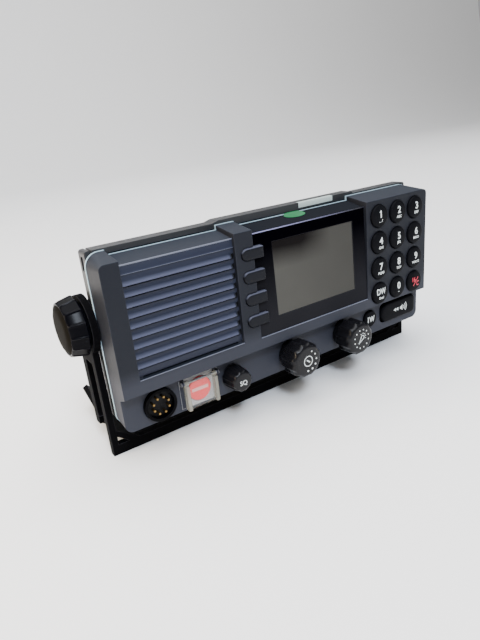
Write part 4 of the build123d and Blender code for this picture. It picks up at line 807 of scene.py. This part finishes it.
class RADIO_OT_bar_keys(bpy.types.Operator):
    """Soft keys beside the display and the wide replay key"""

    bl_idname = "radio.bar_keys"
    bl_label = "Bar keys"

    def execute(self, context):
        for name in SOFT_KEYS:
            low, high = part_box(name)
            x, z = centre(name)
            front = depth_of(name)
            width, height = high.x - low.x, high.z - low.z
            profile = [(0.0, front + 0.0052), (0.0, front + 0.0007), (0.00008, front + 0.00035),
                       (0.0003, front + 0.0001), (0.0006, front), (0.0016, front)]
            points = pillow(x, z, width, height, height / 2, 0.0006, profile)
            dress(grid_piece(f"{name}_bar", points, "soft_key_rubber", True, True, 50.0),
                  "key_rubber", name, name)
        name = "replay_key"
        width, height, left_radius, right_radius = 0.0311, 0.0120, 0.0060, 0.0030
        x, z = centre(name)
        front = depth_of(name)
        profile = [(0.0, front + 0.0036), (0.0, front + 0.0012), (0.0001, front + 0.0007),
                   (0.0005, front + 0.00025), (0.0012, front + 0.00006), (0.0030, front)]
        points = pillow(x, z, width, height, left_radius, right_radius, profile)
        dress(grid_piece("replay_key_bar", points, "key_rubber", True, True, 50.0),
              "key_rubber", name, name)
        # Two triangles that point back, and a loudspeaker with three waves.
        marks = []
        for tip in (x - 0.0048, x - 0.0026):
            marks.append([(tip, z), (tip + 0.0022, z - 0.0011), (tip + 0.0022, z + 0.0011)])
        horn = x + 0.0012
        marks.append([(horn, z - 0.0008), (horn + 0.0010, z - 0.0008), (horn + 0.0023, z - 0.0020),
                      (horn + 0.0023, z + 0.0020), (horn + 0.0010, z + 0.0008),
                      (horn, z + 0.0008)])
        for radius in (0.0014, 0.0026, 0.0038):
            marks += arc_band(horn + 0.0023, z, radius, 0.00045, -0.8, 0.8, 9)
        plates("replay_key_marks", marks, front - 0.00002, name)
        return {"FINISHED"}


class RADIO_OT_knobs(bpy.types.Operator):
    """Volume, channel and squelch knobs with their marks"""

    bl_idname = "radio.knobs"
    bl_label = "Knobs"

    def execute(self, context):
        sizes = context.scene.radio_sizes
        radius, cut = sizes.knob_radius, sizes.knob_flute_depth

        def flutes(angle):
            """Hollows: half a cosine raised to a power leaves narrow ribs between wide hollows."""
            return (0.5 + 0.5 * np.cos(sizes.knob_flutes * angle)) ** 0.7

        for name in ("volume_knob", "channel_knob"):
            x, z = centre(name)
            front = depth_of(name)
            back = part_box(name)[1].y - FACE_Y
            skirt = back - 0.0044
            flat_radius = 0.0068
            turn = np.linspace(0.0, np.pi / 2, 10)
            rim = np.stack([
                flat_radius + (radius - flat_radius) * np.sin(turn),
                front + 0.0030 * (1 - np.cos(turn)),
                cut * np.clip(np.sin(turn) * 2.2 - 1.1, 0.0, 1.0),
            ], axis=-1)
            profile = np.concatenate([
                [(0.0002, front, 0.0), (0.0040, front, 0.0)],
                rim,
                [(radius, front + 0.0040, cut), (radius, skirt - 0.0004, cut),
                 (radius - 0.0004, skirt, cut * 0.8), (0.0078, skirt, 0.0),
                 (0.0076, skirt + 0.0003, 0.0), (0.0076, back, 0.0), (0.0034, back, 0.0)],
            ])
            points = turned(x, z, profile, 144, flutes)
            dress(grid_piece(f"{name}_grip", points, "knob_plastic", True, True, 40.0),
                  "knob_plastic", name, name)
            if name == "volume_knob":
                marks = arc_band(x, z, 0.0028, 0.00045)
                marks.append(stroke(x - 0.0010, z + 0.0008, x + 0.0010, z - 0.0008, 0.0007))
                for step in range(6):
                    angle = math.radians(62 - 31.5 * step)
                    marks.append(disc(*on_circle(x, z, 0.0056, angle), 0.00040 + 0.00004 * step))
            else:
                marks = [
                    disc(*on_circle(x, z, 0.0055, turn), 0.00040)
                    for turn in np.radians(np.arange(15.0, 375.0, 30.0))
                ]
                # A lamp: a drop outline from its point, round the bulb, and short rays.
                bulb_x, bulb_z, bulb_radius, line = x + 0.0007, z + 0.0008, 0.0012, 0.00042
                marks.append(disc(x - 0.0021, z - 0.0022, line))
                sides = np.radians([-42.0, 135.0])
                marks += arc_band(bulb_x, bulb_z, bulb_radius, line, *sides, 14)
                for turn in sides:
                    end = on_circle(bulb_x, bulb_z, bulb_radius, turn)
                    marks.append(stroke(x - 0.0020, z - 0.0021, *end, line))
                for turn in np.radians([-20.0, 15.0, 47.0, 80.0, 118.0]):
                    marks.append(disc(*on_circle(bulb_x, bulb_z, 2 * bulb_radius, turn), 0.00028))
            plates(f"{name}_marks", marks, front - KNOB_PRINT_LIFT, name)
        name = "squelch_knob"
        x, z = centre(name)
        front = depth_of(name)
        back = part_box(name)[1].y - FACE_Y
        profile = [(0.0002, front, 0.0), (0.0042, front, 0.0), (0.0049, front + 0.0002, 0.0),
                   (0.0055, front + 0.0007, 0.0003), (0.0058, front + 0.0014, 0.0006),
                   (0.0060, front + 0.0032, 0.0006), (0.0064, back - 0.0012, 0.0006),
                   (0.0065, back, 0.0004), (0.0026, back, 0.0)]
        points = turned(x, z, profile, 120, flutes)
        dress(grid_piece("squelch_knob_grip", points, "knob_plastic", True, True, 45.0),
              "knob_plastic", name, name)
        lettering("squelch_knob_mark", "SQ", x, z - 0.0008, front - KNOB_PRINT_LIFT, 0.0025, name)
        return {"FINISHED"}


class RADIO_OT_clamps(bpy.types.Operator):
    """Clamp knobs at the sides: tapering facets with ridged corners and a domed end cap"""

    bl_idname = "radio.clamps"
    bl_label = "Clamp knobs"

    def execute(self, context):
        facets = context.scene.radio_sizes.clamp_facets
        first_facet = math.radians(5.0)
        corner, ridge_rise, ridge_width = 1.016, 0.024, 0.026
        cap_row = 13  # in the rows below, where the recess round the cap starts

        def polygon(angle):
            """Share taken off the corner radius: a polygon's cosine law, with a ridge on each
            corner that falls off as a bell curve."""
            half = np.pi / facets
            folded = np.mod(angle - first_facet, 2 * half) - half
            ridge = ridge_rise * np.exp(-((half - np.abs(folded)) / ridge_width) ** 2)
            return corner - np.cos(half) / np.cos(folded) - ridge

        for side, sign in (("left", -1), ("right", 1)):
            name = f"{side}_clamp_knob"
            low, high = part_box(name)
            y, z = (low.y + high.y) / 2, (low.z + high.z) / 2
            inner = high.x if sign < 0 else low.x
            length = high.x - low.x
            # Rows: distance outwards from the inner face, radius, share of the polygon.
            rows = np.array([
                (0.0, 0.0041, 0.0), (0.0, 0.0105, 0.0), (0.0015, 0.0105, 0.0),
                (0.0015, 0.0138, 1.0), (0.0017, 0.0143, 1.0), (0.0021, 0.01460, 1.0),
                (0.0032, 0.0145, 1.0), (0.0082, 0.0134, 1.0), (0.0088, 0.0131, 1.0),
                (0.0093, 0.0126, 0.5), (0.0095, 0.0122, 0.0), (0.0095, 0.0119, 0.0),
                (0.0092, 0.01175, 0.0), (0.0092, 0.0116, 0.0), (0.0095, 0.0115, 0.0),
                (0.0097, 0.0110, 0.0), (length - 0.0011, 0.0098, 0.0),
                (length - 0.0009, 0.0072, 0.0), (length - 0.0008, 0.0040, 0.0),
                (length - 0.0008, 0.0003, 0.0),
            ])
            angle = np.linspace(0.0, 2 * np.pi, 24 * facets, endpoint=False)
            reach = rows[:, 1:2] * (1.0 - rows[:, 2:3] * polygon(angle)[None, :])
            points = np.stack([
                np.repeat(inner + sign * rows[:, 0:1], len(angle), axis=1),
                y + reach * np.cos(angle) * -sign,
                z + reach * np.sin(angle),
            ], axis=-1)
            piece = grid_piece(f"{side}_clamp_grip", points, "clamp_plastic", True, True, 28.0)
            # Rows from the recess round the cap outwards take the cap's finish, a warmer, paler
            # copy of the clamp plastic that paints the cap's warm reflection.
            piece.data.materials.append(finishes()["clamp_cap_reflection"])
            band = np.arange(len(piece.data.polygons)) // len(angle)
            ends = np.arange(len(band)) >= (len(rows) - 1) * len(angle)
            outer_end = np.arange(len(band)) >= len(rows) * len(angle)
            cap = np.where(ends, outer_end, band >= cap_row)
            piece.data.polygons.foreach_set("material_index", cap.astype(np.int32))
            dress(piece, "clamp_plastic", f"{side}_clamp", name)
        return {"FINISHED"}


class RADIO_OT_louvres(bpy.types.Operator):
    """Speaker louvres: sloping noses under tall faces, with painted shade at their right ends"""

    bl_idname = "radio.louvres"
    bl_label = "Louvres"

    def execute(self, context):
        sizes = context.scene.radio_sizes
        left, right, root = LOUVRE_LEFT, LOUVRE_RIGHT, LOUVRE_ROOT
        # The nose shrinks to nothing in a quarter circle before the rib.
        share = np.linspace(0.0, 1.0, 9)
        along = np.concatenate([[left], right - 0.0034 + 0.0018 * share, [right]])
        reach = np.concatenate([[1.0], np.sqrt(1.0 - share**2), [0.0]])
        # Section in depth and height over the underside of the nose, from its top down.
        nose = [(root, 0.0024), (0.00205, 0.00212), (0.00100, 0.00082), (0.00074, 0.00048),
                (0.00060, 0.00022), (0.00062, 0.00004), (0.00078, -0.00006), (root, -0.00006)]
        ridge = sizes.louvre_pitch - 0.00012
        end_shades = []
        for row in range(sizes.louvre_count):
            z = sizes.louvre_first + sizes.louvre_pitch * row
            top = [(root, 0.0039)]
            if row == sizes.louvre_count - 1:
                # Over the highest louvre: a thin ridge, a plain face and the lip of the top.
                lip = PANEL_LIP_Z - z
                turn = np.linspace(1.7, -1.7, 11)
                bead = np.stack([0.00236 - 0.00036 * np.cos(turn),
                                 lip - 0.0001 + 0.00036 * np.sin(turn)], -1)
                top = [*bead, (root, lip - 0.0006), (root, ridge + 0.0009),
                       (0.00150, ridge + 0.0002), (0.00146, ridge + 0.00006), (root, ridge)]
            section = np.array([*top, *nose])
            depth = root - (root - section[:, 0])[None, :] * np.where(
                section[None, :, 1] < 0.003, reach[:, None], 1.0)
            points = np.stack([
                np.repeat(along[:, None], len(section), axis=1),
                FACE_Y + depth,
                np.repeat((z + section[:, 1])[None, :], len(along), axis=0),
            ], axis=-1)
            piece = grid_piece(f"louvre_{row + 1}", points, "louvre_plastic", False, False, 50.0)
            # The bead and the ridge take the lips' colour, a painted highlight.
            height = (section[:-1, 1] + section[1:, 1]) / 2
            highlighted = (height > PANEL_LIP_Z - z - 0.0006) | (np.abs(height - ridge) < 0.0003)
            piece.data.materials.append(finishes()["lip_highlight"])
            piece.data.polygons.foreach_set(
                "material_index", np.tile(highlighted, len(along) - 1).astype(np.int32))
            dress(piece, "panel_plastic", "radio")
            # Painted shade: a dark sheet in the gap at the right end of each nose.
            end_shades.append([
                (right - 0.0017, z - 0.0009), (right, z - 0.0009), (right, z + 0.0021),
                (right - 0.0012, z + 0.0017), (right - 0.0022, z + 0.0003)])
        plates("louvre_end_shades", end_shades, root - 0.00002, "radio", "insert_plastic")
        # Between the bottom slot and the lowest nose the wall has the louvres' colour.
        sill = bar("louvre_foot", left, right, [
            (root + 0.0001, 0.0494), (root, 0.0494), (root, 0.0460), (root + 0.0001, 0.0460)],
            "louvre_plastic")
        dress(sill, "panel_plastic", "radio")
        return {"FINISHED"}


class RADIO_OT_trim(bpy.types.Operator):
    """Edges brightened by painted highlights, a blank oval sticker, a blank label and the distress
    button's pale band
    """

    bl_idname = "radio.trim"
    bl_label = "Trim"

    def execute(self, context):
        # Round beads along the edges, in colours that paint highlights: name, left, right, depth
        # and height.
        bezel_low, bezel_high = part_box("display_bezel")
        for name, left, right, depth, height, radius, material in (
            ("bezel_top_lip", bezel_low.x, bezel_high.x, 0.00225, 0.0981, 0.00028, "bezel_edge_highlight"),
            ("bezel_sill_lip", bezel_low.x, bezel_high.x, 0.00025, bezel_low.z - 0.00010,
             0.00030, "lip_highlight"),
            ("louvre_sill_lip", LOUVRE_LEFT, LOUVRE_RIGHT, 0.00018, 0.0450, 0.00022,
             "lip_highlight"),
        ):
            section = rod_section(depth, height, radius)
            dress(bar(name, left, right, section, material), "panel_plastic", "radio")
        # The sticker lies on the display's shelf and rises over the gasket behind it.
        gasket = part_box("panel_gasket")[0].y
        angle = np.linspace(0.0, 2 * np.pi, 64, endpoint=False)
        share = np.linspace(0.02, 1.0, 9)
        middle_x, middle_y, half_x, half_y = 0.0111, -0.0385, 0.0068, 0.0036
        lift, shelf_slope, rise, rise_width, thickness = 0.0001, 0.198, 0.0005, 0.0014, 0.00008
        x = middle_x + half_x * share[:, None] * np.cos(angle)
        y = middle_y + half_y * share[:, None] * np.sin(angle)
        before = np.maximum(gasket - y, 0.0)
        height = (bezel_high.z + lift - shelf_slope * before
                  + rise * np.exp(-(before / rise_width) ** 2))
        top = np.stack([x, y, height], axis=-1)
        sheet = np.concatenate([top, top[::-1] - np.array([0.0, 0.0, thickness])])
        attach(grid_piece("sticker", sheet, "green_sticker", True, True, 40.0), "radio")
        # The blank label is bent over the front edge of the rear housing.
        front, crown = depth_of("rear_housing"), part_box("rear_housing")[1].z
        left, right, over, down, out, thin = 0.0173, 0.0421, 0.0020, 0.0027, 0.00010, 0.00005
        section = [
            (front + over, crown + out), (front + 0.0001, crown + out),
            (front - out, crown - 0.0001), (front - out, crown - down),
            (front - out + thin, crown - down), (front - out + thin, crown - 0.00015),
            (front + 0.0001, crown + out - thin), (front + over, crown + out - thin)]
        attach(bar("blank_label", left, right, section, "label_paper"), "radio")
        # A plain pale band across the distress button.
        x, z = centre("distress_button")
        band = [(x - 0.0047, z - 0.0008), (x + 0.0047, z - 0.0008),
                (x + 0.0047, z + 0.0010), (x - 0.0047, z + 0.0010)]
        plates("distress_band", [band], depth_of("distress_button") - 0.00003,
               "distress_button", "red_band")
        return {"FINISHED"}


class RADIO_OT_stage(bpy.types.Operator):
    """Pale floor, soft lights and the camera"""

    bl_idname = "radio.stage"
    bl_label = "Stage"

    def execute(self, context):
        scene = context.scene
        # The floor runs back and curves up into a wall: one profile carried along X.
        turn = np.linspace(0.0, np.pi / 2, 24)
        profile = np.concatenate([
            [(-3.0, 0.0), (1.6, 0.0)],
            np.stack([1.6 + 0.9 * np.sin(turn), 0.9 - 0.9 * np.cos(turn)], -1),
            [(2.5, 3.5)],
        ])
        along = np.array([-4.0, 4.0])
        points = np.stack([
            np.repeat(along[:, None], len(profile), axis=1),
            np.repeat(profile[None, :, 0], 2, axis=0),
            np.repeat(profile[None, :, 1], 2, axis=0) - 0.00002,
        ], axis=-1)
        finish = Finish("backdrop")
        slow = finish.noise(0.5, 2.0)
        finish.done(
            Base_Color=finish.blend(slow, (0.90, 0.90, 0.90, 1.0), (0.93, 0.93, 0.93, 1.0)),
            Roughness=0.9)
        grid_piece("backdrop", points, "backdrop")
        world = bpy.data.worlds.new("studio")
        world.use_nodes = True
        background = world.node_tree.nodes["Background"]
        background.inputs["Color"].default_value = (1.0, 1.0, 1.0, 1.0)
        background.inputs["Strength"].default_value = WORLD_STRENGTH
        scene.world = world
        for name, (place, size, energy, colour) in LIGHTS.items():
            light = bpy.data.lights.new(name, "AREA")
            light.size = size
            light.energy = energy
            light.color = colour
            lamp = linked(name, light)
            aim = LIGHT_AIM - np.array(place)
            lamp.location = place
            lamp.rotation_mode = "QUATERNION"
            lamp.rotation_quaternion = Vector(aim.tolist()).to_track_quat("-Z", "Y")
        camera = bpy.data.cameras.new("camera")
        camera.sensor_width = SENSOR_WIDTH
        camera.lens = CAMERA_LENS
        camera.clip_start = 0.01
        body = linked("camera", camera)
        # Columns: right, up and backwards of the view.
        right = np.array(CAMERA_RIGHT)
        back = -np.array(CAMERA_FORWARD)
        back /= np.linalg.norm(back)
        right -= back * right.dot(back)
        right /= np.linalg.norm(right)
        up = np.cross(back, right)
        turned_view = Matrix(np.stack([right, up, back], axis=1).tolist())
        body.rotation_mode = "QUATERNION"
        body.rotation_quaternion = turned_view.to_quaternion()
        body.location = CAMERA_AT
        scene.camera = body
        return {"FINISHED"}


class RADIO_PT_panel(bpy.types.Panel):
    """Lists the pieces in the sidebar"""

    bl_label = "Marine radio"
    bl_idname = "RADIO_PT_panel"
    bl_space_type = "VIEW_3D"
    bl_region_type = "UI"
    bl_category = "Marine radio"

    def draw(self, context):
        for group in (context.scene.radio_sizes, context.scene.radio_colours):
            for key in group.bl_rna.properties.keys():
                if key not in {"rna_type", "name"}:
                    self.layout.prop(group, key)
        for operator in OPERATORS:
            self.layout.operator(operator.bl_idname)


OPERATORS = (
    RADIO_OT_stage, RADIO_OT_finishes, RADIO_OT_keys, RADIO_OT_bar_keys, RADIO_OT_knobs,
    RADIO_OT_clamps, RADIO_OT_louvres, RADIO_OT_trim,
)
CLASSES = (RadioSizes, RadioColours, RADIO_PT_panel, *OPERATORS)


def register():
    for kind in CLASSES:
        bpy.utils.register_class(kind)
    bpy.types.Scene.radio_sizes = bpy.props.PointerProperty(type=RadioSizes)
    bpy.types.Scene.radio_colours = bpy.props.PointerProperty(type=RadioColours)


def unregister():
    del bpy.types.Scene.radio_colours
    del bpy.types.Scene.radio_sizes
    for kind in reversed(CLASSES):
        bpy.utils.unregister_class(kind)


def main():
    register()
    for operator in OPERATORS:
        group, name = operator.bl_idname.split(".")
        getattr(getattr(bpy.ops, group), name)()


if __name__ == "__main__":
    main()
